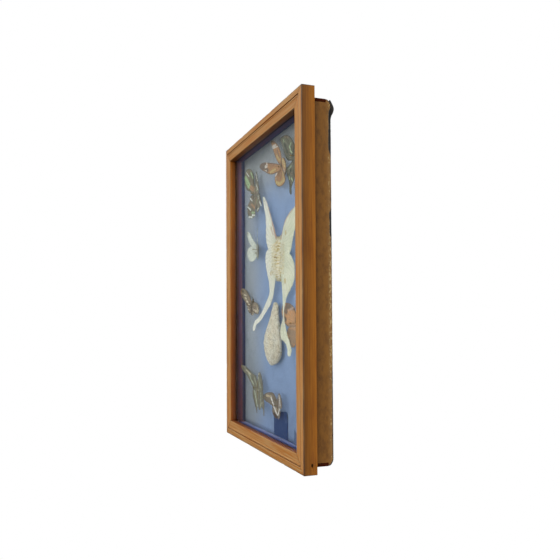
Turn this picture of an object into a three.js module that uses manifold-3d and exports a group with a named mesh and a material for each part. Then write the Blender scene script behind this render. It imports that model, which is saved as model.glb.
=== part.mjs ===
// A glazed wall case of mounted butterflies, a moon moth and a cocoon.
//
// Millimetres, +Z up. The case hangs on a wall: its origin is the middle of its flat back, which lies
// in the plane Y = 0, and its glazed front looks along -Y.
// Inside the group "corner" a place is measured from the front frame's lower left corner:
// x to the right, y back from the front arrises, z up.

import * as THREE from 'three';
import { mergeVertices } from 'three/addons/utils/BufferGeometryUtils.js';
import Module from 'manifold-3d';

const wasm = await Module();
wasm.setup();

// ---------------------------------------------------------------- driving dimensions

const WIDTH = 280;
const HEIGHT = 400;
const DEPTH = 37.8; // from the front arrises to the back
const FIT = 0.3; // air between two pieces that touch

const FACE = 19; // width of a frame member's face
const FRAME_DEPTH = 15.2;
const LIP_DEPTH = 8.3; // how far the lip stands in front of the glass
const CROWN = 0.5; // how far the bead stands proud of the arrises

const WALL_INSET = 16.4; // from the frame's outside to the lining's face
const LINING = 1.2;
const GLASS = 2;
const SHEET_FACE = 24.3; // depth of the papered ground that the specimens are pinned to
const SHEET = 0.4;
const CORK_END = 31.9;

const CASE_SIDE = 9.4; // how far the case sits in from the frame's outside
const CASE_TOP = 9.1;
const CASE_BOTTOM = 5.8;
const EDGE_STRIP = 3.4; // visible end of the top and bottom boards
const BACK_BOARD = 4.8;
const BACK_PAPER = 0.5;
const BACK_ROUND = 7; // height of the rounding along the back edges

const PIN_RADIUS = 0.3;
const PIN_BORE = 0.6;
const PIN_HEAD = 0.9;
const PIN_TOP = 12.2; // depth of the pin heads, just behind the glass
const PIN_END = 30.9;
const WING = 0.5; // wing thickness
const MOTH_WINGS = 17.4; // depth of the moth's wings
const TIGER_WINGS = 17.6;
const ROUND_STEPS = 8;

const COLOURS = {
  wood: '#b47f4a',
  brownPaper: '#6e4c28',
  darkWood: '#3c2413',
  blackPaper: '#1a1817',
  glass: '#e8f2f2',
  lining: '#3b4252',
  sheet: '#7f9bb2',
  cork: '#a9825a',
  board: '#8a6a48',
  card: '#344b74',
  steel: '#8c8c8c',
  brass: '#c2a25c',
};

// ---------------------------------------------------------------- solids

const radians = THREE.MathUtils.degToRad;

/** A closed geometry as a solid that can be joined and cut. */
function solid(geometry) {
  const bare = geometry.clone();
  bare.deleteAttribute('normal');
  bare.deleteAttribute('uv');
  const merged = mergeVertices(bare, 1e-4);
  return new wasm.Manifold(new wasm.Mesh({
    numProp: 3,
    vertProperties: new Float32Array(merged.attributes.position.array),
    triVerts: new Uint32Array(merged.index.array),
  }));
}

/** A joined or cut solid back as a geometry. */
function geometryOf(body) {
  const mesh = body.getMesh();
  const geometry = new THREE.BufferGeometry();
  geometry.setAttribute('position', new THREE.BufferAttribute(new Float32Array(mesh.vertProperties), 3));
  geometry.setIndex(new THREE.BufferAttribute(new Uint32Array(mesh.triVerts), 1));
  geometry.computeVertexNormals();
  return geometry;
}

function box(x0, x1, y0, y1, z0, z1) {
  const geometry = new THREE.BoxGeometry(x1 - x0, y1 - y0, z1 - z0);
  return geometry.translate((x0 + x1) / 2, (y0 + y1) / 2, (z0 + z1) / 2);
}

/** A plate with an outline of [x, z] points, from depth y0 to y1. */
function plate(points, y0, y1) {
  const shape = new THREE.Shape(points.map(([x, z]) => new THREE.Vector2(x, z)));
  const geometry = new THREE.ExtrudeGeometry(shape, { depth: y1 - y0, bevelEnabled: false });
  return geometry.rotateX(Math.PI / 2).translate(0, y1, 0);
}

/** A bar along X, from x0 to x1, with a section of [y, z] points. */
function bar(points, x0, x1) {
  const shape = new THREE.Shape(points.map(([y, z]) => new THREE.Vector2(y, z)));
  const geometry = new THREE.ExtrudeGeometry(shape, { depth: x1 - x0, bevelEnabled: false });
  return geometry.applyMatrix4(new THREE.Matrix4().set(0, 0, 1, x0, 1, 0, 0, 0, 0, 1, 0, 0, 0, 0, 0, 1));
}

/** A round bore or shaft along Y. */
function shaft(radius, x, z, y0, y1, sides = ROUND_STEPS) {
  return new THREE.CylinderGeometry(radius, radius, y1 - y0, sides).translate(x, (y0 + y1) / 2, z);
}

function cut(geometry, tools) {
  return geometryOf(tools.reduce((body, tool) => body.subtract(solid(tool)), solid(geometry)));
}

function join(geometries) {
  return geometryOf(geometries.slice(1).reduce((body, g) => body.add(solid(g)), solid(geometries[0])));
}

/** Points on a quarter ellipse round [cy, cz], from one angle to another in degrees. */
function arc(cy, cz, ry, rz, from, to, steps = 5) {
  return Array.from({ length: steps + 1 }, (_, i) => {
    const angle = radians(from + ((to - from) * i) / steps);
    return [cy + ry * Math.cos(angle), cz + rz * Math.sin(angle)];
  });
}

/** A smooth closed outline through a few points. */
function smooth(points, perPoint = 2) {
  const curve = new THREE.CatmullRomCurve3(
    points.map(([x, z]) => new THREE.Vector3(x, 0, z)), true, 'centripetal');
  return curve.getPoints(points.length * perPoint).slice(0, -1).map((p) => [p.x, p.z]);
}

// ---------------------------------------------------------------- the scene graph

const part = new THREE.Group();
const corner = new THREE.Group();
corner.position.set(-WIDTH / 2, -DEPTH, -HEIGHT / 2);
part.add(corner);

function add(name, geometry, color, roughness = 0.6, metalness = 0) {
  const mesh = new THREE.Mesh(geometry, new THREE.MeshStandardMaterial({ color, roughness, metalness }));
  mesh.name = name;
  corner.add(mesh);
  return mesh;
}

// ---------------------------------------------------------------- front frame

/** The moulding's section: [distance in from the outside, depth]. */
function mouldingSection() {
  return [
    [0, FRAME_DEPTH], [0, 0.9], [0.3, 0.25], [0.9, 0], [3.8, -0.3], [7.2, -CROWN],
    [7.6, 0.4], [8.1, 0.4], [8.5, -0.3], [9.2, -CROWN], [9.9, -0.3], [10.2, 0],
    [17.9, 0], [18.7, 0.3], [FACE, 1], [FACE, LIP_DEPTH],
    [WALL_INSET - LINING - FIT, LIP_DEPTH], [WALL_INSET - LINING - FIT, FRAME_DEPTH],
  ];
}

/** A mitred member of a given length that runs along +X with its outside along z = 0. */
function member(length) {
  const geometry = bar(mouldingSection().map(([inward, depth]) => [depth, inward]), 0, length);
  const position = geometry.attributes.position;
  for (let i = 0; i < position.count; i += 1) {
    const mitre = position.getZ(i) + FIT / 2;
    position.setX(i, position.getX(i) < length / 2 ? mitre : length - mitre);
  }
  return geometry;
}

const NAIL = { depth: 9.4, height: 9.9, head: 3, length: 30, radius: 0.8, headRadius: 1.5, headDepth: 1 };

/** A round piece along X at the nail's place, from x0 to x1. */
function alongNail(radius, x0, x1) {
  const geometry = new THREE.CylinderGeometry(radius, radius, x1 - x0, ROUND_STEPS);
  return geometry.rotateZ(Math.PI / 2).translate((x0 + x1) / 2, NAIL.depth, NAIL.height);
}

function frame() {
  const headFace = WIDTH - NAIL.head;
  const nailEnd = headFace - NAIL.length;
  const hole = [
    alongNail(NAIL.radius + FIT, nailEnd - FIT, WIDTH + 1),
    alongNail(NAIL.headRadius + FIT, headFace - NAIL.headDepth - FIT, WIDTH + 1),
  ];
  const rail = member(WIDTH);
  const stile = member(HEIGHT).rotateY(-Math.PI / 2);

  add('rail_bottom', cut(rail, hole), COLOURS.wood);
  add('rail_top', rail.clone().rotateY(Math.PI).translate(WIDTH, 0, HEIGHT), COLOURS.wood);
  add('stile_left', stile.clone().rotateY(Math.PI).translate(0, 0, HEIGHT), COLOURS.wood);
  add('stile_right', cut(stile.clone().translate(WIDTH, 0, 0), hole), COLOURS.wood);
  add('corner_nail', join([
    alongNail(NAIL.radius, nailEnd, headFace - NAIL.headDepth / 2),
    alongNail(NAIL.headRadius, headFace - NAIL.headDepth, headFace),
  ]), COLOURS.steel, 0.5, 0.8);
}

// ---------------------------------------------------------------- glass, linings and pinning ground

const BED = WALL_INSET - LINING; // inset of the glass, the sheet and the cork

function interior(pins) {
  const glassFront = LIP_DEPTH + FIT;
  const glassBack = glassFront + GLASS;
  add('glass_pane', box(BED, WIDTH - BED, glassFront, glassBack, BED, HEIGHT - BED), COLOURS.glass, 0.05);

  const y0 = glassBack + FIT;
  const y1 = SHEET_FACE - FIT;
  const inner = WALL_INSET + FIT;
  add('lining_left', box(BED, WALL_INSET, y0, y1, BED, HEIGHT - BED), COLOURS.lining);
  add('lining_right', box(WIDTH - WALL_INSET, WIDTH - BED, y0, y1, BED, HEIGHT - BED), COLOURS.lining);
  add('lining_top', box(inner, WIDTH - inner, y0, y1, HEIGHT - WALL_INSET, HEIGHT - BED), COLOURS.lining);
  add('lining_bottom', box(inner, WIDTH - inner, y0, y1, BED, WALL_INSET), COLOURS.lining);

  const sheetEnd = SHEET_FACE + SHEET;
  const corkFace = sheetEnd + FIT;
  const bores = (from, to) => pins.map(({ x, z }) => shaft(PIN_BORE, x, z, from, to));
  add('blue_sheet', cut(box(BED, WIDTH - BED, SHEET_FACE, sheetEnd, BED, HEIGHT - BED),
    bores(SHEET_FACE - 1, sheetEnd + 1)), COLOURS.sheet, 0.9);
  add('cork_board', cut(box(BED, WIDTH - BED, corkFace, CORK_END, BED, HEIGHT - BED),
    bores(corkFace - 1, PIN_END + FIT)), COLOURS.cork, 0.95);
}

// ---------------------------------------------------------------- case

function caseBoards() {
  const front = FRAME_DEPTH + FIT;
  const boardEnd = CORK_END;
  const backFace = boardEnd + FIT;
  const inside = BED - FIT;
  const low = CASE_BOTTOM;
  const high = HEIGHT - CASE_TOP;
  const skin = BACK_PAPER + FIT; // room for the paper that wraps the back edges
  const edgeLow = low + EDGE_STRIP + FIT;
  const edgeHigh = high - EDGE_STRIP - FIT;

  const sideProfile = [
    [front, edgeLow], [backFace, edgeLow], [backFace, low + skin],
    ...arc(backFace, low + skin + BACK_ROUND, BACK_BOARD, BACK_ROUND, -70, 0),
    ...arc(backFace, high - skin - BACK_ROUND, BACK_BOARD, BACK_ROUND, 0, 70),
    [backFace, high - skin], [backFace, edgeHigh], [front, edgeHigh],
  ];
  add('case_side_left', bar(sideProfile, CASE_SIDE, inside), COLOURS.brownPaper, 0.9);
  add('case_side_right', bar(sideProfile, WIDTH - inside, WIDTH - CASE_SIDE), COLOURS.brownPaper, 0.9);

  const tongue = inside + FIT;
  const topBoard = [
    [CASE_SIDE, high], [CASE_SIDE, high - EDGE_STRIP], [tongue, high - EDGE_STRIP],
    [tongue, HEIGHT - inside], [WIDTH - tongue, HEIGHT - inside], [WIDTH - tongue, high - EDGE_STRIP],
    [WIDTH - CASE_SIDE, high - EDGE_STRIP], [WIDTH - CASE_SIDE, high],
  ];
  const bottomBoard = [
    [CASE_SIDE, low], [WIDTH - CASE_SIDE, low], [WIDTH - CASE_SIDE, low + EDGE_STRIP],
    [WIDTH - tongue, low + EDGE_STRIP], [WIDTH - tongue, inside], [tongue, inside],
    [tongue, low + EDGE_STRIP], [CASE_SIDE, low + EDGE_STRIP],
  ];
  add('case_top', plate(topBoard, front, boardEnd), COLOURS.darkWood);
  add('case_bottom', plate(bottomBoard, front, boardEnd), COLOURS.darkWood);

  const backProfile = [
    [backFace, low + skin],
    ...arc(backFace, low + skin + BACK_ROUND, BACK_BOARD, BACK_ROUND, -70, 0),
    ...arc(backFace, high - skin - BACK_ROUND, BACK_BOARD, BACK_ROUND, 0, 70),
    [backFace, high - skin],
  ];
  add('back_board', bar(backProfile, tongue, WIDTH - tongue), COLOURS.board, 0.9);

  const inner = { ry: BACK_BOARD + FIT, rz: BACK_ROUND + FIT };
  const outer = { ry: inner.ry + BACK_PAPER, rz: inner.rz + BACK_PAPER };
  const lowCentre = low + skin + BACK_ROUND;
  const highCentre = high - skin - BACK_ROUND;
  const paperProfile = [
    ...arc(backFace, lowCentre, outer.ry, outer.rz, -90, 0),
    ...arc(backFace, highCentre, outer.ry, outer.rz, 0, 90),
    ...arc(backFace, highCentre, inner.ry, inner.rz, 90, 0),
    ...arc(backFace, lowCentre, inner.ry, inner.rz, 0, -90),
  ];
  add('backing_paper', bar(paperProfile, CASE_SIDE, WIDTH - CASE_SIDE), COLOURS.blackPaper, 0.9);
}

// ---------------------------------------------------------------- specimens

/** Ground colours of the wings. */
const SCALES = {
  swallowtail: '#4c4f3c',
  jay: '#7f8f6a',
  white: '#dfe3da',
  longwing: '#7c6a4c',
  orange: '#a9713f',
  swordtail: '#8a8f72',
  banded: '#8b7a66',
  tiger: '#b0733a',
  moth: '#d9dabd',
  cocoon: '#d6cdb0',
};
const BODY_WIDTH = 0.19; // a butterfly's body against its length
const BODY_THICKNESS = 0.17;
const BODY_BORE = 9; // how far a pin's bore reaches to each side of a body's middle

/** A spindle along z: thorax above, abdomen below, round [0, 0] and flattened to a thickness. */
function spindle({ length, width, thickness }, sides = 10) {
  const profile = [[0, -0.62], [0.55, -0.5], [0.75, -0.25], [0.8, -0.05], [1, 0.12], [0.85, 0.26], [0.5, 0.36], [0, 0.38]];
  const points = profile.map(([r, t]) => new THREE.Vector2((r * width) / 2, t * length));
  return new THREE.LatheGeometry(points, sides).rotateX(Math.PI / 2).scale(1, thickness / width, 1);
}

/** One pair of wings, lifted towards the glass. */
function wingPair(outline, lift) {
  const right = plate(smooth(outline), -WING / 2, WING / 2).rotateZ(-radians(lift));
  const left = plate(smooth(outline.map(([x, z]) => [-x, z]).reverse()), -WING / 2, WING / 2)
    .rotateZ(radians(lift));
  return [left, right];
}

/** A butterfly about its pin. */
function butterfly({ fore, hind, lift, bodyLength }) {
  const trunk = spindle({
    length: bodyLength, width: bodyLength * BODY_WIDTH, thickness: bodyLength * BODY_THICKNESS,
  });
  const wings = [...wingPair(fore, lift), ...wingPair(hind, lift)];
  return cut(join([trunk, ...wings]), [shaft(PIN_BORE, 0, 0, -BODY_BORE, BODY_BORE)]);
}

/** Evenly set butterflies. A right wing's outline is [outwards, towards the head] from the wing root. */
const BUTTERFLIES = [
  {
    name: 'butterfly_swallowtail', x: 221, y: 19.2, z: 341, turn: -2, lift: 9, bodyLength: 27,
    color: SCALES.swallowtail,
    fore:
      [[-0.1, 1.5], [1.5, 11.2], [6.6, 20.3], [13.6, 27.1], [21.7, 31], [29.4, 31], [35, 28.4],
       [31.1, 21.9], [27.1, 13.8], [22.4, 4.9], [17, -1.6], [8.8, -3.8], [0.6, -4.7]],
    hind:
      [[0.2, -0.6], [8, -4.5], [14.7, -8.4], [20.6, -12.4], [17.8, -18.8], [14.4, -25.1],
       [13.2, -31.6], [12.4, -38.8], [9.6, -42.4], [8.4, -40], [8.9, -34.6], [6.8, -30.4],
       [2.6, -26.4], [0.4, -17]],
  },
  {
    name: 'butterfly_jay', x: 80, y: 19, z: 325, turn: 0, lift: 9, bodyLength: 26,
    color: SCALES.jay,
    fore:
      [[0.3, 3], [2.4, 14], [5, 26], [10, 33], [18, 36.5], [25, 36], [29.6, 31], [30, 22],
       [28, 14], [22, 8], [14, 4.6], [8, 0], [0.4, -2]],
    hind:
      [[0.4, 1.4], [8, 0], [14, -2], [17, -8], [22, -13], [23, -20], [20, -28], [14, -31.6],
       [6, -31], [1.5, -30], [0.8, -18]],
  },
  {
    name: 'butterfly_white', x: 86, y: 19.4, z: 250, turn: 0, lift: 15, bodyLength: 20,
    color: SCALES.white,
    fore:
      [[0.3, 1.7], [2.6, 7.5], [6.8, 11.6], [10.9, 15.8], [15.7, 21.7], [20.4, 25.4], [23.6, 25.4],
       [23.2, 19.7], [20.2, 13.7], [16.2, 8.2], [11.5, 4.2], [4, 0.6]],
    hind:
      [[0.3, 1.4], [5.5, 4.9], [11.4, 5.9], [17.3, 5.2], [22, 2.6], [24.1, -2.4], [22.6, -8.2],
       [19.1, -12.6], [14.4, -14.7], [9.1, -14.1], [4.3, -11.4], [0.8, -6.3]],
  },
  {
    name: 'butterfly_longwing', x: 60, y: 20.4, z: 178, turn: -24, lift: 0, bodyLength: 23,
    color: SCALES.longwing,
    fore:
      [[0.3, 1.4], [3.9, 4.4], [10.8, 8], [19.6, 11], [28.8, 11.8], [37.2, 9.4], [41.2, 4.6],
       [38.6, -0.7], [31.4, -3], [23.1, -5], [15.1, -6.4], [7.6, -6.6], [0.8, -4.2]],
    hind:
      [[0.3, -0.4], [7.4, -3.4], [12.8, -4.8], [15, -7.8], [12.4, -11.4], [7.8, -13.4],
       [3.8, -13.8], [1.2, -12], [0.2, -8]],
  },
  {
    name: 'butterfly_orange', x: 216, y: 21.2, z: 154, turn: 2, lift: 0, bodyLength: 24,
    color: SCALES.orange,
    fore:
      [[0.3, 1], [1.8, 11.1], [7.6, 18.3], [18.4, 22.7], [32.4, 24.7], [41.4, 23.5], [45.6, 18.7],
       [44.8, 11.6], [40.1, 4.4], [31.3, -1.4], [19.3, -3.9], [4.3, -3.8]],
    hind:
      [[0.3, 0], [10.1, -1.7], [20.2, -3], [28.3, -6.6], [30.6, -14.6], [26.9, -22.2], [19, -26.5],
       [9, -26.9], [2.8, -20], [0.6, -10]],
  },
  {
    name: 'butterfly_swordtail', x: 85, y: 19.4, z: 70, turn: 0, lift: 4, bodyLength: 25,
    color: SCALES.swordtail,
    fore:
      [[0.3, 4], [6.1, 14.4], [14.1, 17], [24, 19], [31, 21], [36, 22], [38, 19], [33.6, 13.4],
       [21.8, 5.4], [13.6, -2.4], [6.1, -5], [0.6, -6]],
    hind:
      [[0.3, 0], [8, 0], [15.7, -3], [16.6, -10], [13, -18], [8.4, -25], [4.6, -31.5], [2.6, -33],
       [2.2, -28], [0.4, -20]],
  },
  {
    name: 'butterfly_banded', x: 158, y: 19.5, z: 56, turn: 0, lift: 7, bodyLength: 20,
    color: SCALES.banded,
    fore:
      [[0.3, 2.4], [4.9, 9.4], [10.7, 13.4], [19.4, 13.6], [27.8, 12], [33.6, 9], [34.4, 5],
       [28.6, 1.6], [21, 0], [12.9, -2], [2.7, -2.3]],
    hind:
      [[0.3, 1.4], [8.7, 0.4], [13.2, -3.6], [13.8, -8.6], [11, -13], [6.4, -15.6], [2.6, -16.2],
       [0.6, -13.6], [0.2, -8]],
  },
];

/** Wings of the two specimens that are set unevenly, as outlines in the case. */
const MOTH = {
  name: 'moon_moth', x: 168, y: 19.0, z: 232, color: SCALES.moth,
  body: { length: 50, width: 15, thickness: 8.4 }, wingDepth: MOTH_WINGS,
  wings: [
    [[166, 249.2], [163, 256.2], [155.8, 267.1], [148.2, 278.1], [141.5, 286.2], [133.5, 296.3],
     [124.4, 306.5], [116.7, 313.6], [110.4, 314.7], [110.4, 309.7], [115.6, 299.7],
     [119.9, 286.7], [121.6, 273.7], [121.6, 261.7], [124.4, 252.7], [131.2, 245.6],
     [147.1, 241.4], [164, 239.3]],
    [[164, 245.3], [144.9, 247.4], [128.9, 245.6], [121, 240.8], [118.8, 232.8], [122.1, 222.8],
     [128.9, 211.8], [134.6, 200.8], [133.5, 191.8], [126.6, 183.9], [115.6, 176], [101.4, 167],
     [87.4, 160], [77.4, 157.6], [70.4, 153], [66.4, 147], [69.4, 143.5], [76.4, 146],
     [80.4, 151.5], [89.4, 154], [102.4, 158.5], [116.7, 166.5], [132.3, 173.4], [144.9, 181.8],
     [153.7, 193.7], [158.9, 206.6], [163, 219.5]],
    [[172, 249.2], [177.9, 253.2], [179.8, 258.2], [185.4, 266.2], [194.5, 275.3], [203.4, 280.4],
     [214.1, 283.6], [227.4, 286.3], [237.4, 286.8], [241.4, 284.3], [237.4, 277.8],
     [227.4, 269.8], [217.8, 261.7], [211.4, 249.7], [206, 237.7], [199.8, 231.6], [174, 235.4]],
    [[174, 243.3], [189.1, 239.4], [201.6, 233.6], [209.6, 227.7], [215, 218.8], [215.9, 209.9],
     [212.3, 199.9], [204.2, 191.8], [195.4, 184.8], [190.9, 178.8], [187.3, 171.9],
     [185.9, 163.9], [187.7, 156], [191.8, 147.1], [196.3, 138.1], [201.6, 131.6], [205.6, 125.1],
     [205.6, 116.7], [199.8, 113.7], [194.5, 116.2], [195.4, 123.2], [191.8, 129.2],
     [184.5, 132.2], [176.9, 136.7], [174.5, 142.1], [175.9, 151], [180.8, 158], [182.6, 165.9],
     [182.2, 174.9], [180.8, 185.8], [177.9, 203.6], [175, 221.5]],
  ],
};
const TIGER = {
  name: 'butterfly_tiger', x: 182, y: 18.4, z: 337, turn: 40, color: SCALES.tiger,
  body: { length: 22, width: 4.2, thickness: 3.8 }, wingDepth: TIGER_WINGS,
  wings: [
    [[181, 340], [172, 342.5], [160, 346.5], [147, 350], [132, 354], [120, 356.5], [110, 357.5],
     [104, 355.5], [110, 350], [122, 345], [134, 339.6], [146, 336], [160, 334.5], [178, 335]],
    [[181, 338], [172, 339], [163, 337.5], [156.5, 333], [155, 327.5], [159, 321.5], [167, 317],
     [177, 315.4], [186, 316.6], [190.5, 320], [189, 327], [185, 334]],
    [[180, 341], [181, 349], [177, 358], [171, 365], [163, 371], [154, 375.5], [148, 376.5],
     [149, 372], [153, 366], [158, 358], [165, 350], [173, 343]],
    [[181, 342], [186, 347], [192, 345], [197, 338.5], [198.5, 331], [196.5, 326.5], [192, 328],
     [187, 333], [182, 338]],
  ],
};

function unevenSpecimen({ name, x, y, z, turn = 0, color, body, wingDepth, wings }) {
  const trunk = spindle(body, 12).rotateY(-radians(turn)).translate(x, y, z);
  const plates = wings.map((outline) => plate(smooth(outline), wingDepth - WING / 2, wingDepth + WING / 2));
  add(name, cut(join([trunk, ...plates]), [shaft(PIN_BORE, x, z, y - BODY_BORE, y + BODY_BORE)]), color, 0.85);
}

const COCOON = { x: 147, y: 18.4, z: 138, lean: 13, thickness: 10.8 };

/** The cocoon's half width along its length: narrow above, full low down, with a short point. */
function cocoonGeometry() {
  const profile = [
    [0, -37.2], [1.4, -36.5], [5.5, -35], [12, -32], [20.2, -27], [26.2, -21], [28, -14],
    [26.7, -6], [23.5, 2], [18.9, 10], [14.7, 18], [10.9, 26], [7.9, 33], [6.8, 38], [5.7, 40.6],
    [2.3, 41.6], [0, 42],
  ].map(([r, t]) => new THREE.Vector2(r, t));
  const width = 2 * Math.max(...profile.map((p) => p.x));
  return new THREE.LatheGeometry(profile, 20).rotateX(Math.PI / 2).scale(1, COCOON.thickness / width, 1);
}

function specimens() {
  for (const { name, x, y, z, turn, color, ...rest } of BUTTERFLIES) {
    const mesh = add(name, butterfly(rest), color, 0.85);
    mesh.position.set(x, y, z);
    mesh.rotation.y = -radians(turn);
  }
  unevenSpecimen(MOTH);
  unevenSpecimen(TIGER);

  const cocoon = add('cocoon', cocoonGeometry(), SCALES.cocoon, 0.9);
  cocoon.position.set(COCOON.x, COCOON.y, COCOON.z);
  cocoon.rotation.y = radians(COCOON.lean);
}

function pinPlaces() {
  return [...BUTTERFLIES, MOTH, TIGER]
    .map(({ name, x, z }) => ({ name: `pin_${name.replace('butterfly_', '')}`, x, z }));
}

function pin({ name, x, z }) {
  const profile = [
    [0, 0], [PIN_RADIUS, 1], [PIN_RADIUS, PIN_END - PIN_TOP - PIN_HEAD * 2],
    [PIN_HEAD * 0.8, PIN_END - PIN_TOP - PIN_HEAD * 1.6], [PIN_HEAD, PIN_END - PIN_TOP - PIN_HEAD],
    [PIN_HEAD * 0.6, PIN_END - PIN_TOP - PIN_HEAD * 0.2], [0, PIN_END - PIN_TOP],
  ].map(([r, t]) => new THREE.Vector2(r, t));
  const mesh = add(name, new THREE.LatheGeometry(profile, 6), COLOURS.brass, 0.4, 0.9);
  mesh.rotation.x = Math.PI;
  mesh.position.set(x, PIN_END, z);
}

/** A bare card of deeper blue, low on the ground sheet. */
const CARD = { x0: 133, x1: 180, z0: 17, z1: 50, thickness: 0.5 };

function card() {
  const y1 = SHEET_FACE - FIT;
  add('blue_card', box(CARD.x0, CARD.x1, y1 - CARD.thickness, y1, CARD.z0, CARD.z1), COLOURS.card, 0.8);
}

frame();
interior(pinPlaces());
caseBoards();
specimens();
pinPlaces().forEach(pin);
card();

export default part;
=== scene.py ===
"""A glazed wall case of mounted butterflies, a moon moth and a cocoon: fine shapes, finishes and stage.

Places are in millimetres from the front frame's lower left corner: x to the right, y back from the
front arrises, z up. metres() turns them into the frame's own metres.
"""

import math
import random

import bpy
from mathutils import Matrix, Vector, noise
from mathutils.geometry import delaunay_2d_cdt


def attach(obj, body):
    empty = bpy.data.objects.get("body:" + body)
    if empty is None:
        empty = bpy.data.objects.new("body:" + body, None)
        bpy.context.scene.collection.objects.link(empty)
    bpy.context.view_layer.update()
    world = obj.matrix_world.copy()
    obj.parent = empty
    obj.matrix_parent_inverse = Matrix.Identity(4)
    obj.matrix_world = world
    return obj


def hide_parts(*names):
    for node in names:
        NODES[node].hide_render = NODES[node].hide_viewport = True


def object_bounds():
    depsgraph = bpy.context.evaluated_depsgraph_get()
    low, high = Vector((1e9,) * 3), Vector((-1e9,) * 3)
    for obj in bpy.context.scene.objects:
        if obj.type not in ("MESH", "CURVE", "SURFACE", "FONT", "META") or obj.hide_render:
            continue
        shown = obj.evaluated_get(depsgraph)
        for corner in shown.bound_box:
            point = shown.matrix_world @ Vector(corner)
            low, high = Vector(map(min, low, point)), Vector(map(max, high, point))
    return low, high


bl_info = {
    "name": "Butterfly wall case",
    "version": (1, 0, 0),
    "blender": (4, 5, 0),
    "location": "3D Viewport > Sidebar > Butterfly case",
    "description": "Builds the fine shapes, finishes and stage of a glazed case of mounted butterflies",
    "category": "Object",
}

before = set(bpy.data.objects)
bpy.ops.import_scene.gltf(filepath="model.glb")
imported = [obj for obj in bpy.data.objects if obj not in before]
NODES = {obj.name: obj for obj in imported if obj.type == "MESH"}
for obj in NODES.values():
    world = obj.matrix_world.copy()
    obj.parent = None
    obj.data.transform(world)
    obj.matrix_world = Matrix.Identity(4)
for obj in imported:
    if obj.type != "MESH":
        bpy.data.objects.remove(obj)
CAD_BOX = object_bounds()

# ---------------------------------------------------------------- sizes shared by the pieces, in mm

MM = 0.001
CROWN = 0.5  # how far the moulding's bead stands in front of its arrises
WIDTH = (CAD_BOX[1].x - CAD_BOX[0].x) / MM
HEIGHT = (CAD_BOX[1].z - CAD_BOX[0].z) / MM
MEMBER_WIDTH = 19.0
REBATE = 14.9  # from the outside of a member to its rebate
LIP_DEPTH = 8.3
FRAME_DEPTH = 15.2
SHEET_FACE = 24.3
CASE_SIDE = 9.4  # from the frame's outside to the side of the case
PIN_TOP = 12.2
PIN_END = 30.9


def metres(x, y, z):
    """A place in the case, in the frame's metres."""
    return Vector((CAD_BOX[0].x + x * MM, CAD_BOX[0].y + (CROWN + y) * MM, CAD_BOX[0].z + z * MM))


# ---------------------------------------------------------------- shapes


class Form:
    """Points in case millimetres, faces with a finish number each, and named values on the points."""

    def __init__(self):
        self.points = []
        self.faces = []
        self.finishes = []
        self.values = {}

    def add(self, points, faces, finish=0, **values):
        """Adds one closed body; its faces are turned outwards."""
        start = len(self.points)
        if volume(points, faces) < 0:
            faces = [tuple(reversed(face)) for face in faces]
        self.points += [Vector(p) for p in points]
        self.faces += [tuple(start + i for i in face) for face in faces]
        self.finishes += [finish] * len(faces)
        for name, given in values.items():
            blank = (0.0, 0.0, 0.0) if isinstance(given[0], tuple) else 0.0
            self.values.setdefault(name, [blank] * start)
        for name, held in self.values.items():
            blank = (0.0, 0.0, 0.0) if held and isinstance(held[0], tuple) else 0.0
            held += values.get(name) or [blank] * len(points)


def volume(points, faces):
    """Six times the signed volume inside the faces."""
    total = 0.0
    for face in faces:
        a = Vector(points[face[0]])
        for i in range(1, len(face) - 1):
            total += a.dot(Vector(points[face[i]]).cross(Vector(points[face[i + 1]])))
    return total


def make_piece(name, form, finishes, nodes=(), slot=None, sharp=40):
    """One object from a form, riding on the case and standing for the named nodes."""
    mesh = bpy.data.meshes.new(name)
    mesh.from_pydata([metres(*p) for p in form.points], [], form.faces)
    for finish in finishes:
        mesh.materials.append(finish)
    mesh.polygons.foreach_set("material_index", form.finishes)
    for key, held in form.values.items():
        if isinstance(held[0], tuple):
            flat = [c for v in held for c in v]
            mesh.attributes.new(key, "FLOAT_VECTOR", "POINT").data.foreach_set("vector", flat)
        else:
            mesh.attributes.new(key, "FLOAT", "POINT").data.foreach_set("value", held)
    mesh.shade_smooth()
    mesh.set_sharp_from_angle(angle=math.radians(sharp))
    mesh.validate()
    piece = bpy.data.objects.new(name, mesh)
    bpy.context.scene.collection.objects.link(piece)
    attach(piece, "root")
    if nodes:
        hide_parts(*nodes)
    return piece


def smooth_loop(corners, steps):
    """A closed centripetal spline through a few flat points."""
    loop = [Vector(corner) for corner in corners]
    points = []
    for i in range(len(loop)):
        p = [loop[(i + k - 1) % len(loop)] for k in range(4)]
        t = [0.0]
        for a, b in zip(p, p[1:]):
            t.append(t[-1] + max(1e-4, math.sqrt((b - a).length)))
        for step in range(steps):
            s = t[1] + (t[2] - t[1]) * step / steps
            one = [p[k].lerp(p[k + 1], (s - t[k]) / (t[k + 1] - t[k])) for k in range(3)]
            two = [one[k].lerp(one[k + 1], (s - t[k]) / (t[k + 2] - t[k])) for k in range(2)]
            points.append(two[0].lerp(two[1], (s - t[1]) / (t[2] - t[1])))
    return points


def rounded(corners, steps=4):
    """A closed section of (a, b, rounding) corners with each corner eased."""
    points = []
    count = len(corners)
    for i, (a, b, ease) in enumerate(corners):
        here = Vector((a, b))
        if not ease:
            points.append(here)
            continue
        before = Vector(corners[i - 1][:2]) - here
        after = Vector(corners[(i + 1) % count][:2]) - here
        start = here + before.normalized() * min(ease, before.length * 0.45)
        end = here + after.normalized() * min(ease, after.length * 0.45)
        for step in range(steps + 1):
            t = step / steps
            points.append(start.lerp(here, t).lerp(here.lerp(end, t), t))
    return points


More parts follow.
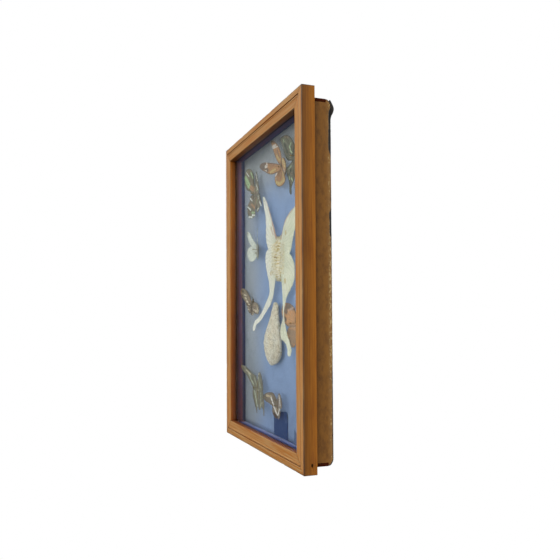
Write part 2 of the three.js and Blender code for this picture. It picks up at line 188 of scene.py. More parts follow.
def grid_faces(rows, columns, closed=False):
    """Quads of a grid whose points run column by column within each row; closed joins each row's ends."""
    faces = []
    for i in range(rows - 1):
        for j in range(columns if closed else columns - 1):
            a = i * columns + j
            b = i * columns + (j + 1) % columns
            faces.append((a, b, b + columns, a + columns))
    return faces


def ring_faces(rows, columns):
    """Faces of a closed body whose points are rings, with a face over each end."""
    faces = grid_faces(rows, columns, closed=True)
    faces.append(tuple(reversed(range(columns))))
    faces.append(tuple((rows - 1) * columns + j for j in range(columns)))
    return faces


def rings_body(rings):
    """Points and faces of a closed body from rings of points."""
    return [p for ring in rings for p in ring], ring_faces(len(rings), len(rings[0]))


def tube(path, radii, sides=6):
    """A round rod along a path."""
    path = [Vector(p) for p in path]
    rings = []
    side = None
    for i, p in enumerate(path):
        along = (path[min(i + 1, len(path) - 1)] - path[max(i - 1, 0)]).normalized()
        if side is None:
            side = along.orthogonal().normalized()
        side = (side - along * side.dot(along)).normalized()
        over = along.cross(side)
        radius = radii[i] if isinstance(radii, (list, tuple)) else radii
        turns = [math.tau * k / sides for k in range(sides)]
        rings.append([p + side * (radius * math.cos(a)) + over * (radius * math.sin(a)) for a in turns])
    return rings_body(rings)


def hair(base, tip, width):
    """A single hair: a slim three-sided spike."""
    along = (tip - base).normalized()
    side = along.orthogonal().normalized() * width
    over = along.cross(side)
    points = [base + side, base - side * 0.5 + over * 0.87, base - side * 0.5 - over * 0.87, tip]
    return points, [(0, 1, 3), (1, 2, 3), (2, 0, 3), (2, 1, 0)]


def sheet_body(front, back, rows, columns):
    """A thin closed sheet from two grids of points."""
    size = rows * columns
    faces = grid_faces(rows, columns)
    faces += [tuple(size + i for i in reversed(face)) for face in grid_faces(rows, columns)]
    rim = list(range(columns))
    rim += [i * columns + columns - 1 for i in range(1, rows)]
    rim += [(rows - 1) * columns + j for j in range(columns - 2, -1, -1)]
    rim += [i * columns for i in range(rows - 2, 0, -1)]
    for a, b in zip(rim, rim[1:] + rim[:1]):
        faces.append((b, a, size + a, size + b))
    return front + back, faces


def ease(value, low, high):
    """Nought below low, one above high, smooth between."""
    t = min(1.0, max(0.0, (value - low) / (high - low)))
    return t * t * (3 - 2 * t)


def ripple(seed, *place):
    """Smooth noise between -1 and 1 at a place of up to three numbers."""
    return noise.noise(Vector((place + (0.0, 0.0))[:3]) + Vector((seed * 17.3, seed * 5.1, seed * 9.7)))


# ---------------------------------------------------------------- finishes


def colour(code):
    """A hex colour as linear red, green, blue and alpha."""
    parts = [int(code[i : i + 2], 16) / 255 for i in (1, 3, 5)]
    return tuple(c / 12.92 if c <= 0.04045 else ((c + 0.055) / 1.055) ** 2.4 for c in parts) + (1.0,)


class Wire:
    """A node's output that can stand in a sum; each operator adds a Math node."""

    def __init__(self, nodes, socket):
        self.nodes = nodes
        self.socket = socket

    def __add__(self, other):
        return self.nodes.maths("ADD", self, other)

    def __radd__(self, other):
        return self.nodes.maths("ADD", other, self)

    def __sub__(self, other):
        return self.nodes.maths("SUBTRACT", self, other)

    def __rsub__(self, other):
        return self.nodes.maths("SUBTRACT", other, self)

    def __mul__(self, other):
        return self.nodes.maths("MULTIPLY", self, other)

    def __rmul__(self, other):
        return self.nodes.maths("MULTIPLY", other, self)

    def __truediv__(self, other):
        return self.nodes.maths("DIVIDE", self, other)

    def __rtruediv__(self, other):
        return self.nodes.maths("DIVIDE", other, self)

    def __abs__(self):
        return self.nodes.maths("ABSOLUTE", self)

    def __pow__(self, power):
        return self.nodes.maths("POWER", self, power)


class Nodes:
    """Adds nodes to one node tree."""

    def __init__(self, tree):
        self.tree = tree

    def node(self, kind, settings=None, values=None, output=0):
        """Any node: its settings are set first, then the values or links of its sockets."""
        made = self.tree.nodes.new("ShaderNode" + kind)
        for key, value in (settings or {}).items():
            if key == "stops":
                while len(made.color_ramp.elements) < len(value):
                    made.color_ramp.elements.new(0.5)
                for element, (place, tint) in zip(made.color_ramp.elements, value):
                    element.position = place
                    element.color = tint
            else:
                setattr(made, key, value)
        for key, value in (values or {}).items():
            if isinstance(value, Wire):
                self.tree.links.new(value.socket, made.inputs[key])
            else:
                made.inputs[key].default_value = value
        return Wire(self, made.outputs[output])

    def maths(self, operation, *terms):
        return self.node("Math", {"operation": operation}, dict(enumerate(terms)))

    def vector(self, operation, *terms, output=0):
        return self.node("VectorMath", {"operation": operation}, dict(enumerate(terms)), output)

    def mix(self, factor, a, b, blend="MIX"):
        """A colour between two colours."""
        settings = {"data_type": "RGBA", "blend_type": blend}
        return self.node("Mix", settings, {0: factor, 6: a, 7: b}, output=2)

    def ramp(self, factor, *stops):
        return self.node("ValToRGB", {"stops": stops}, {0: factor})

    def rise(self, value, low, high):
        """Nought below low, one above high, smooth between."""
        settings = {"interpolation_type": "SMOOTHSTEP"}
        return self.node("MapRange", settings, {0: value, 1: low, 2: high, 3: 0.0, 4: 1.0})

    def stretch(self, place, scale):
        return self.vector("MULTIPLY", place, scale)

    def noise(self, place, scale, detail=3.0, roughness=0.55, distortion=0.0):
        values = {"Vector": place, "Scale": scale, "Detail": detail, "Roughness": roughness}
        return self.node("TexNoise", None, {**values, "Distortion": distortion})

    def cells(self, place, scale):
        return self.node("TexVoronoi", {"feature": "F1"}, {"Vector": place, "Scale": scale})

    def on_points(self, name, output="Fac"):
        """A value that the mesh's points carry."""
        return self.node("Attribute", {"attribute_name": name}, output=output)

    def parts(self, place):
        """The x, y and z of a vector."""
        split = self.node("SeparateXYZ", None, {0: place})
        outputs = split.socket.node.outputs
        return tuple(Wire(self, outputs[i]) for i in range(3))

    def case_place(self):
        """The place in the case in millimetres, for a node or piece whose origin is the case's."""
        place = self.node("TexCoord", output="Object")
        corner = metres(0, 0, 0)
        return self.stretch(self.vector("SUBTRACT", place, tuple(corner)), (1 / MM, 1 / MM, 1 / MM))


class Finish(Nodes):
    """A material with one shader."""

    def __init__(self, name, **constants):
        self.material = bpy.data.materials.new(name)
        self.material.use_nodes = True
        super().__init__(self.material.node_tree)
        self.shader = self.tree.nodes["Principled BSDF"]
        for key, value in constants.items():
            self.shader.inputs[key.replace("_", " ")].default_value = value

    def feed(self, socket, wire):
        self.tree.links.new(wire.socket, self.shader.inputs[socket])

    def let_through(self, amount):
        """Lets part of the light through a thin or loose surface, so that its shadow stays pale."""
        path = self.node("LightPath", output="Is Shadow Ray")
        bounced = Wire(self, path.socket.node.outputs["Is Diffuse Ray"])
        clear = self.node("BsdfTransparent")
        surface = self.node("MixShader", None, {0: (path + bounced) * amount, 2: clear})
        mixed = surface.socket.node
        self.tree.links.new(self.shader.outputs[0], mixed.inputs[1])
        self.tree.links.new(mixed.outputs[0], self.tree.nodes["Material Output"].inputs["Surface"])

    def bump(self, height, depth, strength=1.0):
        """Relief of a depth in metres."""
        values = {"Height": height, "Distance": depth, "Strength": strength}
        self.feed("Normal", self.node("Bump", None, values))


def wear(node, finish):
    """Gives a carried-over node its finish."""
    for slot in NODES[node].material_slots:
        slot.material = finish


# ---------------------------------------------------------------- settings a user would change


def tint(name, description, code):
    """A colour that a user may change."""
    return bpy.props.FloatVectorProperty(
        name=name, description=description, subtype="COLOR", size=4, min=0.0, max=1.0, default=colour(code)
    )


def share(name, description, default):
    """A share between nought and one that a user may change."""
    return bpy.props.FloatProperty(
        name=name, description=description, subtype="FACTOR", min=0.0, max=1.0, default=default
    )


def amount(name, description, default, **unit):
    """A number from nought up that a user may change."""
    return bpy.props.FloatProperty(name=name, description=description, default=default, min=0.0, **unit)


class FrameSettings(bpy.types.PropertyGroup):
    honey: tint("Honey", "Varnish over pale grain", "#a4681d")
    amber: tint("Amber", "Varnish over the usual grain", "#8a5212")
    russet: tint("Russet", "Reddish patches in the wood", "#6b330c")
    # The colour of the paler, greyer front faces.
    pale_front: tint("Bleached", "Wood that light has paled on the front", "#8c7d5a")
    groove: tint("Groove", "Dirt in the moulding's groove and joints", "#4a2812")
    arris_wear: amount("Arris wear", "Depth of the nicks along the arrises in millimetres", 0.45)
    gloss: share("Varnish roughness", "How matt the varnish is", 0.42)


class GlazingSettings(bpy.types.PropertyGroup):
    glass_index: amount("Index of refraction", "Index of refraction of the glass", 1.45)
    lining_top: tint("Lining, upper", "Faded lining paper towards the top", "#3f548a")
    lining_foot: tint("Lining, lower", "Lining paper towards the bottom", "#0b1f5a")
    # The floor's lighter blue is painted light from above.
    lit_floor_lining: tint("Lining, floor", "Lining paper on the bottom of the case", "#34569c")
    lining_edge: tint("Lining edge", "Dark paper tape at the glass", "#120f12")


class GroundSettings(bpy.types.PropertyGroup):
    sheet: tint("Sheet", "Blue ground paper", "#86a2cb")
    faded: tint("Faded sheet", "Ground paper where light has greyed it", "#a3abae")
    deep: tint("Unfaded sheet", "Ground paper where it was covered", "#47597a")
    card: tint("Card", "Bare card on the ground", "#0e3c76")
    cork: tint("Cork", "Cork behind the ground", "#a9825a")


class CaseSettings(bpy.types.PropertyGroup):
    paper: tint("Side paper", "Worn brown paper on the case's sides", "#885919")
    # This darker paper colour serves for dirt and for painted shade next to the frame.
    dirt_and_shade: tint("Soiled paper", "The same paper where it is dirty", "#60390a")
    rubbed: tint("Rubbed paper", "The same paper where it is rubbed", "#9d7948")
    edge_wood: tint("Edge wood", "Ends of the top and bottom boards", "#4a1c0a")
    black_paper: tint("Backing paper", "Black paper on the back", "#1b1918")
    torn: tint("Torn edge", "Fibres along the torn edges", "#6b6358")
    fold: amount("Fold", "How far the paper folds onto the sides in millimetres", 1.3)


class SpecimenSettings(bpy.types.PropertyGroup):
    wing_thickness: amount("Wing thickness", "Thickness of a wing in millimetres", 0.26)
    grid: amount("Wing grid", "Spacing of the points over a butterfly's wing in millimetres", 0.95)
    moth_grid: amount("Moth grid", "Spacing of the points over the moth's wings in millimetres", 1.25)
    brass: tint("Pins", "Tarnished brass of the pins", "#a98a4a")


class StageSettings(bpy.types.PropertyGroup):
    sky: amount("Sky", "Brightness of the soft light from the front", 2.7)
    fill: amount("Fill", "Brightness of the light from all sides", 0.09)
    backdrop: amount("Backdrop", "Brightness of the light from behind the case", 0.35)
    lamp: amount("Lamp", "Power of the large soft lamp in watts", 6.0)
    floor_drop: amount(
        "Floor drop", "How far the floor lies below the case", 0.62, subtype="DISTANCE", unit="LENGTH"
    )


# ---------------------------------------------------------------- front frame

# The moulding's section: inwards from the outside, back from the front arris, and each corner's rounding.
MOULDING = (
    (0.0, FRAME_DEPTH, 0.3), (0.0, 0.0, 0.9), (3.8, -0.32, 2.0), (7.1, -CROWN, 0.5), (7.5, 0.5, 0.1),
    (8.1, 0.5, 0.1), (8.5, -0.3, 0.3), (9.2, -CROWN, 0.5), (9.95, -0.3, 0.3), (10.3, 0.06, 0.3),
    (18.0, 0.0, 1.5), (MEMBER_WIDTH, 0.0, 0.9), (MEMBER_WIDTH, LIP_DEPTH, 0.3), (REBATE, LIP_DEPTH, 0.0),
    (REBATE, FRAME_DEPTH, 0.0),
)
GROOVE_MIDDLE = 7.8
MEMBER_ROWS = 120
MITRE_GAP = 0.15
GRAIN_SHIFT = 431.0  # gives each member its own stretch of grain
SWAY_DEPTH = 14  # behind this the member is dead straight, for the case to lie against
NAIL_SIDES = 20
NAIL = {"y": 9.4, "z": 9.9}
# The nail's bore: the place along it, its radius and how far it is squeezed flat.
NAIL_BORE = ((246.7, 1.1, 1), (275.7, 1.1, 1), (275.71, 1.8, 1), (277.4, 1.75, 1), (278.2, 1.6, 0.75),
    (279.6, 1.5, 0.7), (281.5, 1.8, 0.7))
RAGGED_FROM = 278
BORE_REACH = 3.2  # points nearer than this to the nail's middle belong to the bore
BORE_MOUTH = 279.8


def member(span, lay, seed, arris_wear, tone, outer_tone):
    """A mitred member: its points, its faces and what its points carry for the wood's finish."""
    section = rounded(MOULDING)
    points = []
    grain = []
    joint = []
    tones = []
    for row in range(MEMBER_ROWS):
        t = row / (MEMBER_ROWS - 1)
        for inward, depth in section:
            mitre = inward + MITRE_GAP
            along = mitre + (span - 2 * mitre) * t
            nick = max(0.0, ripple(seed, along * 0.11, depth * 0.05) - 0.28) * arris_wear
            nick += max(0.0, ripple(seed + 3, along * 0.5) - 0.45) * arris_wear
            edge = 1 - ease(math.hypot(inward, depth), 0.6, 2.2)
            inner = 1 - ease(math.hypot(inward - MEMBER_WIDTH, depth), 0.6, 2.0)
            sway = 0.05 * ripple(seed + 7, along * 0.05, inward * 0.2, depth * 0.2)
            point_in = inward + nick * edge - nick * 0.6 * inner
            point_depth = depth + nick * (edge + inner * 0.6) + (sway if depth < SWAY_DEPTH else 0.0)
            points.append(lay(along, point_in, point_depth))
            grain.append((along + seed * GRAIN_SHIFT, inward, depth))
            joint.append(min(along, span - along) - inward)
            lip = ease(inward, 18.0, MEMBER_WIDTH) * ease(point_depth, 0.5, 1.5)
            # The lip's tone is painted shade with some dirt: darker overall, much darker towards the bottom
            # and darker still next to the glass.
            dirt_and_shade = 0.7 - 0.42 * (1 - ease(points[-1][2], 60, 300))
            arris = 1 - 0.6 * edge * (1 - ease(inward, 0.4, 1.2))
            plain = (tone + (outer_tone - tone) * ease(point_depth, 0.4, 2.2)) * arris
            dim = 1 - 0.45 * ease(point_depth, 4.5, LIP_DEPTH)
            tones.append(plain * (1 - lip) + dirt_and_shade * lip * dim)
    faces = ring_faces(MEMBER_ROWS, len(section))
    return points, faces, {"grain": grain, "joint": joint, "tone": tones}


def varnished_wood(settings):
    """Honey-brown varnished wood: grain, pores, reddish patches, a dirty groove and rubbed arrises, paler on
    the front, with painted light and shade between the faces and painted shade on the lip.
    """
    f = Finish("Varnished wood", Specular_IOR_Level=0.3, Coat_IOR=1.4, Coat_Roughness=0.3, Coat_Weight=0.1)
    grain = f.on_points("grain", "Vector")
    _, inward, depth = f.parts(grain)
    streaks = f.noise(f.stretch(grain, (0.016, 0.9, 0.9)), 1.0, 5.0, 0.6, 0.4)
    patches = f.noise(f.stretch(grain, (0.02, 0.06, 0.06)), 1.0, 3.0)
    pores = f.noise(f.stretch(grain, (0.12, 3.2, 3.2)), 1.0, 2.0, 0.6)
    flecks = f.rise(pores, 0.6, 0.72)
    base = f.ramp(streaks, (0.1, settings.russet), (0.42, settings.amber), (0.72, settings.honey))
    reddish = f.rise(patches, 0.5, 0.7) * 0.25
    base = f.mix(reddish, base, settings.russet)
    # The front faces are paler and greyer than the sides.
    front = (1 - f.rise(depth, 0.4, 2.2)) * 0.55
    paled = f.mix(f.rise(streaks, 0.35, 0.65), settings.amber, settings.pale_front)
    base = f.mix(front, base, paled)
    base = f.mix(flecks * 0.4, base, settings.groove)
    groove = (1 - f.rise(abs(inward - GROOVE_MIDDLE), 0.45, 0.8)) * (1 - f.rise(depth, 2.0, 3.0))
    base = f.mix(groove * 0.6, base, settings.groove)
    joint = 1 - f.rise(f.on_points("joint"), 0.15, 0.9)
    base = f.mix(joint * 0.8, base, settings.groove)
    rubbed = (1 - f.rise(inward + abs(depth), 0.5, 1.6)) * f.rise(patches, 0.4, 0.6) * 0.6
    base = f.mix(rubbed, base, settings.groove)
    x, y, z = f.parts(f.case_place())
    stain = (1 - f.rise(abs(z - 15.0) * 0.3 + abs(y - 10.5), 1.0, 5.0)) * f.rise(x, 266.0, 272.0)
    base = f.mix(stain * 0.3, base, settings.russet)
    tone = f.on_points("tone")
    lip = f.rise(inward, 18.3, 18.9) * f.rise(depth, 0.8, 1.8)
    # Painted shade on the lip: its colour turns darker and redder towards the bottom.
    lip_shade_tint = f.mix(f.rise(z, 60, 300), (0.98, 0.64, 0.26, 1.0), (1.14, 0.96, 0.36, 1.0))
    base = f.mix(lip, base, lip_shade_tint, "MULTIPLY")
    # Each point's tone multiplies in the painted light and shade of the faces and the painted shade on the
    # lip.
    shade = f.node("CombineXYZ", None, {0: tone, 1: tone, 2: tone})
    base = f.mix(1.0, base, shade, "MULTIPLY")
    f.feed("Base Color", base)
    f.feed("Roughness", settings.gloss + 0.16 * streaks)
    f.bump(streaks * 0.5 - flecks * 0.5, 0.00016, 0.5)
    return f.material


def nail_cutter():
    """The nail's bore, wider and a little ragged where the head went in."""
    rings = []
    for x, radius, squeeze in NAIL_BORE:
        ring = []
        for k in range(NAIL_SIDES):
            a = math.tau * k / NAIL_SIDES
            r = radius * (1 + (0.12 * ripple(4, math.cos(a), math.sin(a)) if x > RAGGED_FROM else 0))
            y = NAIL["y"] + r * squeeze * math.cos(a)
            ring.append(Vector((x, y, NAIL["z"] + r * (2.05 - squeeze) * math.sin(a))))
        rings.append(ring)
    form = Form()
    form.add(*rings_body(rings))
    mesh = bpy.data.meshes.new("nail_cutter")
    mesh.from_pydata([metres(*p) for p in form.points], [], form.faces)
    cutter = bpy.data.objects.new("nail_cutter", mesh)
    bpy.context.scene.collection.objects.link(cutter)
    return cutter


def cut_piece(piece, cutter, along_axis, seed):
    """Cuts the nail's bore into a member, keeps the result as its mesh and carries the grain into it."""
    modifier = piece.modifiers.new("bore", "BOOLEAN")
    modifier.object = cutter
    modifier.solver = "EXACT"
    seen = piece.evaluated_get(bpy.context.evaluated_depsgraph_get())
    result = bpy.data.meshes.new_from_object(seen)
    piece.modifiers.clear()
    result.set_sharp_from_angle(angle=math.radians(32))
    origin = Vector(metres(0, 0, 0))
    for number, vertex in enumerate(result.vertices):
        x, y, z = (vertex.co - origin) / MM
        if math.hypot(y - NAIL["y"], z - NAIL["z"]) > BORE_REACH:
            continue
        along, inward = (x, z) if along_axis == "x" else (z, WIDTH - x)
        result.attributes["grain"].data[number].vector = (along + seed * GRAIN_SHIFT, inward, y)
        result.attributes["joint"].data[number].value = 9.0
        # Inside the bore the wood is toned dark, painted shade in the nail hole; round its mouth it is only
        # a little darker.
        result.attributes["tone"].data[number].value = 0.85 if x > BORE_MOUTH else 0.25
    piece.data = result


class CASE_OT_front_frame(bpy.types.Operator):
    """Builds the four mitred mouldings of the front frame and finishes the corner nail"""

    bl_idname = "case.front_frame"
    bl_label = "Front frame"

    def execute(self, context):
        settings = context.scene.case_frame
        wood = varnished_wood(settings)
        lays = {
            "rail_bottom": (WIDTH, lambda a, i, d: (a, d, i)),
            "rail_top": (WIDTH, lambda a, i, d: (WIDTH - a, d, HEIGHT - i)),
            "stile_left": (HEIGHT, lambda a, i, d: (i, d, HEIGHT - a)),
            "stile_right": (HEIGHT, lambda a, i, d: (WIDTH - i, d, a)),
        }
        pieces = {}
        for seed, (node, (span, lay)) in enumerate(lays.items(), 1):
            # The rails' fronts are toned a little darker, their upper and lower faces much darker and the
            # stiles' outer sides lighter: painted light and shade between the faces.
            tone, outer_tone = (0.93, 0.45) if node.startswith("rail") else (1.0, 1.2)
            points, faces, values = member(span, lay, seed, settings.arris_wear, tone, outer_tone)
            form = Form()
            form.add(points, faces, **values)
            pieces[node] = make_piece("moulding_" + node, form, [wood], (node,), "frame_wood", sharp=32)
        cutter = nail_cutter()
        cut_piece(pieces["rail_bottom"], cutter, "x", 1)
        cut_piece(pieces["stile_right"], cutter, "z", 4)
        bpy.data.objects.remove(cutter)

        steel = Finish("Rusted nail", Metallic=0.6, Roughness=0.6)
        rust = steel.noise(steel.case_place(), 1.3, 4.0)
        steel.feed("Base Color", steel.ramp(rust, (0.35, colour("#3a2a1e")), (0.65, colour("#6d4a30"))))
        steel.bump(rust, 0.0001)
        wear("corner_nail", steel.material)
        return {"FINISHED"}


# ---------------------------------------------------------------- glass and linings


def pane_glass(settings):
    """Plain window glass, very slightly green."""
    f = Finish("Window glass", Transmission_Weight=1.0, IOR=settings.glass_index, Roughness=0.0)
    f.shader.inputs["Base Color"].default_value = (0.985, 0.995, 0.99, 1.0)
    return f.material


def lining_paper(settings, name, face, foot):
    """Blue lining paper, faded above, with black tape at the glass; the floor's lining gets painted light,
    lighter towards the back.

    face is the axis that runs along the lining: "z" for the sides and "x" for the top and bottom."""
    f = Finish(name, Roughness=0.75)
    place = f.case_place()
    _, y, z = f.parts(place)
    height = z / HEIGHT + 0.12 * (f.noise(place, 0.03, 2.0) - 0.5)
    base = f.ramp(height, (0.08, foot), (0.85, settings.lining_top))
    if face == "x":
        # Painted light: the floor lining is painted lighter towards the back, where light from above falls.
        base = f.mix(f.rise(y, 16.5, 21.0) * (1 - f.rise(z, 60, 90)), base, colour("#7fa4da"))
    fibres = f.noise(f.stretch(place, (1.0, 1.0, 0.2) if face == "z" else (0.2, 1.0, 1.0)), 2.4, 3.0)
    base = f.mix(0.35 * fibres, base, colour("#121a30"))
    navy = (1 - f.rise(abs(y - 14.1), 0.3, 1.5)) * 0.9
    base = f.mix(navy, base, colour("#0c1c34"))
    tape = 1 - f.rise(y + 0.4 * (f.noise(place, 0.5, 2.0) - 0.5), 12.6, 13.1)
    base = f.mix(tape, base, settings.lining_edge)
    scuff = tape * f.rise(f.noise(f.stretch(place, (1.0, 2.0, 0.25)), 1.2, 3.0), 0.52, 0.66)
    base = f.mix(scuff * 0.5, base, colour("#6a6258"))
    f.feed("Base Color", base)
    f.bump(fibres, 0.00012, 0.6)
    return f.material


LINT_CORNER = (17.4, 11.6, 16.75)
LINT_FIBRES = 26
LINT_STEP = 0.45
LINT_RADIUS = 0.09


class CASE_OT_glazing(bpy.types.Operator):
    """Finishes the glass and the linings, and lays a flake of lint in the corner"""

    bl_idname = "case.glazing"
    bl_label = "Glass and linings"

    def execute(self, context):
        settings = context.scene.case_glazing
        wear("glass_pane", pane_glass(settings))
        upright = lining_paper(settings, "Side lining paper", "z", settings.lining_foot)
        level = lining_paper(settings, "End lining paper", "x", settings.lit_floor_lining)
        for node in ("lining_left", "lining_right"):
            wear(node, upright)
        for node in ("lining_top", "lining_bottom"):
            wear(node, level)

        form = Form()
        rng = random.Random(5)
        for _ in range(LINT_FIBRES):
            x = LINT_CORNER[0] + rng.uniform(0, 1.6)
            y = LINT_CORNER[1] + rng.uniform(0, 1.5)
            path = [Vector((x, y, LINT_CORNER[2] + rng.uniform(0, 1.4)))]
            heading = Vector((rng.uniform(-0.3, 0.6), rng.uniform(-0.1, 0.3), rng.uniform(-0.2, 0.8)))
            for _ in range(4):
                heading = (heading + Vector([rng.uniform(-0.5, 0.5) for _ in range(3)])).normalized()
                step = path[-1] + heading * LINT_STEP
                path.append(Vector((max(16.9, step.x), min(13.6, max(11.2, step.y)), max(16.85, step.z))))
            form.add(*tube(path, LINT_RADIUS, 5))
        lint = Finish("Lint", Roughness=0.9)
        fluff = lint.noise(lint.case_place(), 2.0)
        lint.feed("Base Color", lint.ramp(fluff, (0.3, colour("#a7a596")), (0.7, colour("#e2e0d2"))))
        make_piece("lint_flake", form, [lint.material], slot="lining_card")
        return {"FINISHED"}


# ---------------------------------------------------------------- pinning ground


def ground_paper(settings):
    """Blue ground paper, greyed by light above and on the left, with soft blotches and fibres, and painted
    shadow darkening its lower part round the lower specimens.
    """
    f = Finish("Ground paper", Roughness=0.85)
    place = f.case_place()
    x, _, z = f.parts(place)
    cloud = f.noise(f.stretch(place, (0.7, 1.0, 0.5)), 0.02, 3.0)
    top = f.rise(z + 60 * (cloud - 0.5), 285, 365)
    side = 1 - f.rise(x + 40 * (cloud - 0.5), 36, 110)
    fade = f.maths("MAXIMUM", top, side * 0.85)
    base = f.mix(fade, settings.sheet, settings.faded)
    fibre = f.noise(f.stretch(place, (1.0, 1.0, 0.35)), 1.4, 4.0, 0.65)
    base = f.mix(f.rise(fibre, 0.35, 0.75) * 0.2, base, colour("#c3cbd2"))
    blotch = f.noise(place, 0.055, 4.0, 0.6)
    base = f.mix(f.rise(blotch, 0.5, 0.75) * 0.2, base, settings.deep)
    foot = 1 - f.rise(z, 17, 24)
    covered = (1 - f.rise(z + (x - 205) * 0.5, 28, 31)) * f.rise(x, 196, 200)
    base = f.mix(f.maths("MAXIMUM", foot * 0.7, covered * 0.85), base, settings.deep)
    # Painted shadow: the lower left and the lower middle of the sheet are darkened round the lower
    # specimens.
    base = f.mix((1 - f.rise(z, 70, 150)) * side * 0.32, base, colour("#4f5a68"))
    low = (1 - f.rise(z + 50 * (cloud - 0.5), 30, 130)) * f.rise(x, 90, 190)
    base = f.mix(low * 0.32, base, settings.deep)
    foxing = f.rise(f.noise(place, 0.35, 2.0, 0.7), 0.68, 0.76)
    base = f.mix(foxing * 0.35, base, colour("#7c6f5c"))
    f.feed("Base Color", base)
    f.bump(fibre + 0.4 * blotch, 0.00015, 0.5)
    return f.material


CARD = {"left": 133.4, "wide": 46, "foot": 17.2, "high_left": 28.5, "slant": 4.5, "off_sheet": 0.75,
        "thick": 0.4}
CARD_ROWS = 30
CARD_COLUMNS = 28


class CASE_OT_pinning_ground(bpy.types.Operator):
    """Finishes the ground paper and the cork, and lays the slightly curled blue card"""

    bl_idname = "case.pinning_ground"
    bl_label = "Pinning ground"

    def execute(self, context):
        settings = context.scene.case_ground
        wear("blue_sheet", ground_paper(settings))
        cork = Finish("Cork", Roughness=0.95)
        grains = cork.cells(cork.case_place(), 0.7)
        cork.feed("Base Color", cork.ramp(grains, (0.1, colour("#6f5033")), (0.6, settings.cork)))
        cork.bump(grains, 0.0003)
        wear("cork_board", cork.material)

        front = []
        back = []
        for i in range(CARD_ROWS):
            for j in range(CARD_COLUMNS):
                u = j / (CARD_COLUMNS - 1)
                v = i / (CARD_ROWS - 1)
                x = CARD["left"] + CARD["wide"] * u
                high = v * (CARD["high_left"] + CARD["slant"] * u)
                z = CARD["foot"] + high + 0.25 * ripple(3, u * 9, v * 3) * ease(v, 0.8, 1)
                lift = 1.3 * ease(u + v, 1.45, 2.1) + 0.5 * ease(v, 0.55, 1.0)
                lift += 0.12 * ripple(6, u * 3, v * 3)
                y = SHEET_FACE - CARD["off_sheet"] - max(0.0, lift)
                front.append(Vector((x, y, z)))
                back.append(Vector((x, y + CARD["thick"], z)))
        form = Form()
        form.add(*sheet_body(front, back, CARD_ROWS, CARD_COLUMNS))
        card = Finish("Blue card", Roughness=0.8)
        weave = card.noise(card.case_place(), 2.2, 4.0)
        worn = card.rise(card.noise(card.case_place(), 0.12, 3.0), 0.5, 0.8) * 0.3
        base = card.mix(weave * 0.3, settings.card, colour("#1f335c"))
        card.feed("Base Color", card.mix(worn, base, colour("#5b7096")))
        card.bump(weave, 0.0001)
        make_piece("curled_card", form, [card.material], ("blue_card",), "card_paper")
        return {"FINISHED"}


# ---------------------------------------------------------------- case and backing paper


def side_paper(settings):
    """Worn brown paper on the sides of the case: darker by the frame, partly dirt and partly painted shade
    under the frame's overhang, rubbed towards the back.
    """
    f = Finish("Worn side paper", Roughness=0.72)
    place = f.case_place()
    _, y, z = f.parts(place)
    cloud = f.noise(f.stretch(place, (1.0, 1.0, 0.6)), 0.16, 6.0, 0.72)
    fine = f.noise(f.stretch(place, (1.0, 1.0, 0.3)), 0.9, 4.0, 0.65)
    base = f.mix(f.rise(cloud, 0.4, 0.7) * 0.7, settings.paper, settings.dirt_and_shade)
    # Darker next to the frame: partly dirt, partly painted shade under the frame's overhang.
    near_frame = 1 - f.rise(y + 3 * (cloud - 0.5), 15.5, 22.0)
    base = f.mix(near_frame * 0.75, base, settings.dirt_and_shade)
    back_edge = f.rise(y + 2.4 * (fine - 0.5), 30.0, 37.0)
    base = f.mix(back_edge * 0.45, base, settings.rubbed)
    speck = f.rise(fine, 0.6, 0.74)
    base = f.mix(speck * 0.3, base, settings.rubbed)
    low, risen, falling, high = BARE_STRETCH
    bare = f.rise(z, low, risen) * (1 - f.rise(z, falling, high))
    flaked = f.noise(f.stretch(place, (1.0, 1.0, 0.6)), 0.5, 3.0, 0.7) + 0.07 * bare
    chips = f.rise(flaked, 0.56, 0.61) * f.rise(y, 33.2, 35.6)
    base = f.mix(chips * 0.85, base, colour("#bfa36c"))
    pit = f.rise(f.noise(place, 0.5, 3.0, 0.7), 0.66, 0.72)
    base = f.mix(pit * 0.6, base, colour("#3c240f"))
    f.feed("Base Color", base)
    f.bump(fine - 0.6 * pit - 0.4 * chips, 0.0002, 0.6)
    return f.material


def end_wood(settings):
    """Dark stained wood with grain across the case."""
    f = Finish("Dark stained wood", Roughness=0.9, Specular_IOR_Level=0.05)
    place = f.case_place()
    grain = f.noise(f.stretch(place, (0.03, 1.4, 1.4)), 1.0, 5.0, 0.6)
    stops = (0.3, colour("#2e1006")), (0.6, settings.edge_wood), (0.85, colour("#6b3416"))
    f.feed("Base Color", f.ramp(grain, *stops))
    f.bump(grain, 0.0002)
    return f.material


def back_paper(settings):
    """Black paper, rusty and rubbed, with pale fibres along its torn edges."""
    f = Finish("Black backing paper", Roughness=0.82)
    place = f.case_place()
    torn = f.on_points("torn")
    cloud = f.noise(place, 0.03, 4.0)
    fine = f.noise(place, 0.9, 5.0, 0.7)
    base = f.mix(f.rise(cloud, 0.4, 0.7) * 0.6, settings.black_paper, colour("#2c2723"))
    crease = f.rise(f.noise(f.stretch(place, (0.05, 1.0, 0.02)), 1.0, 4.0, 0.7), 0.6, 0.66)
    base = f.mix(crease * 0.25, base, colour("#4a443d"))
    scuff = f.rise(fine, 0.62, 0.72) * 0.45
    base = f.mix(scuff, base, colour("#4b4239"))
    edge = f.rise(torn + 0.5 * (fine - 0.5), 0.62, 0.9)
    base = f.mix(edge * 0.75, base, settings.torn)
    f.feed("Base Color", base)
    f.bump(fine + cloud, 0.00025, 0.7)
    return f.material


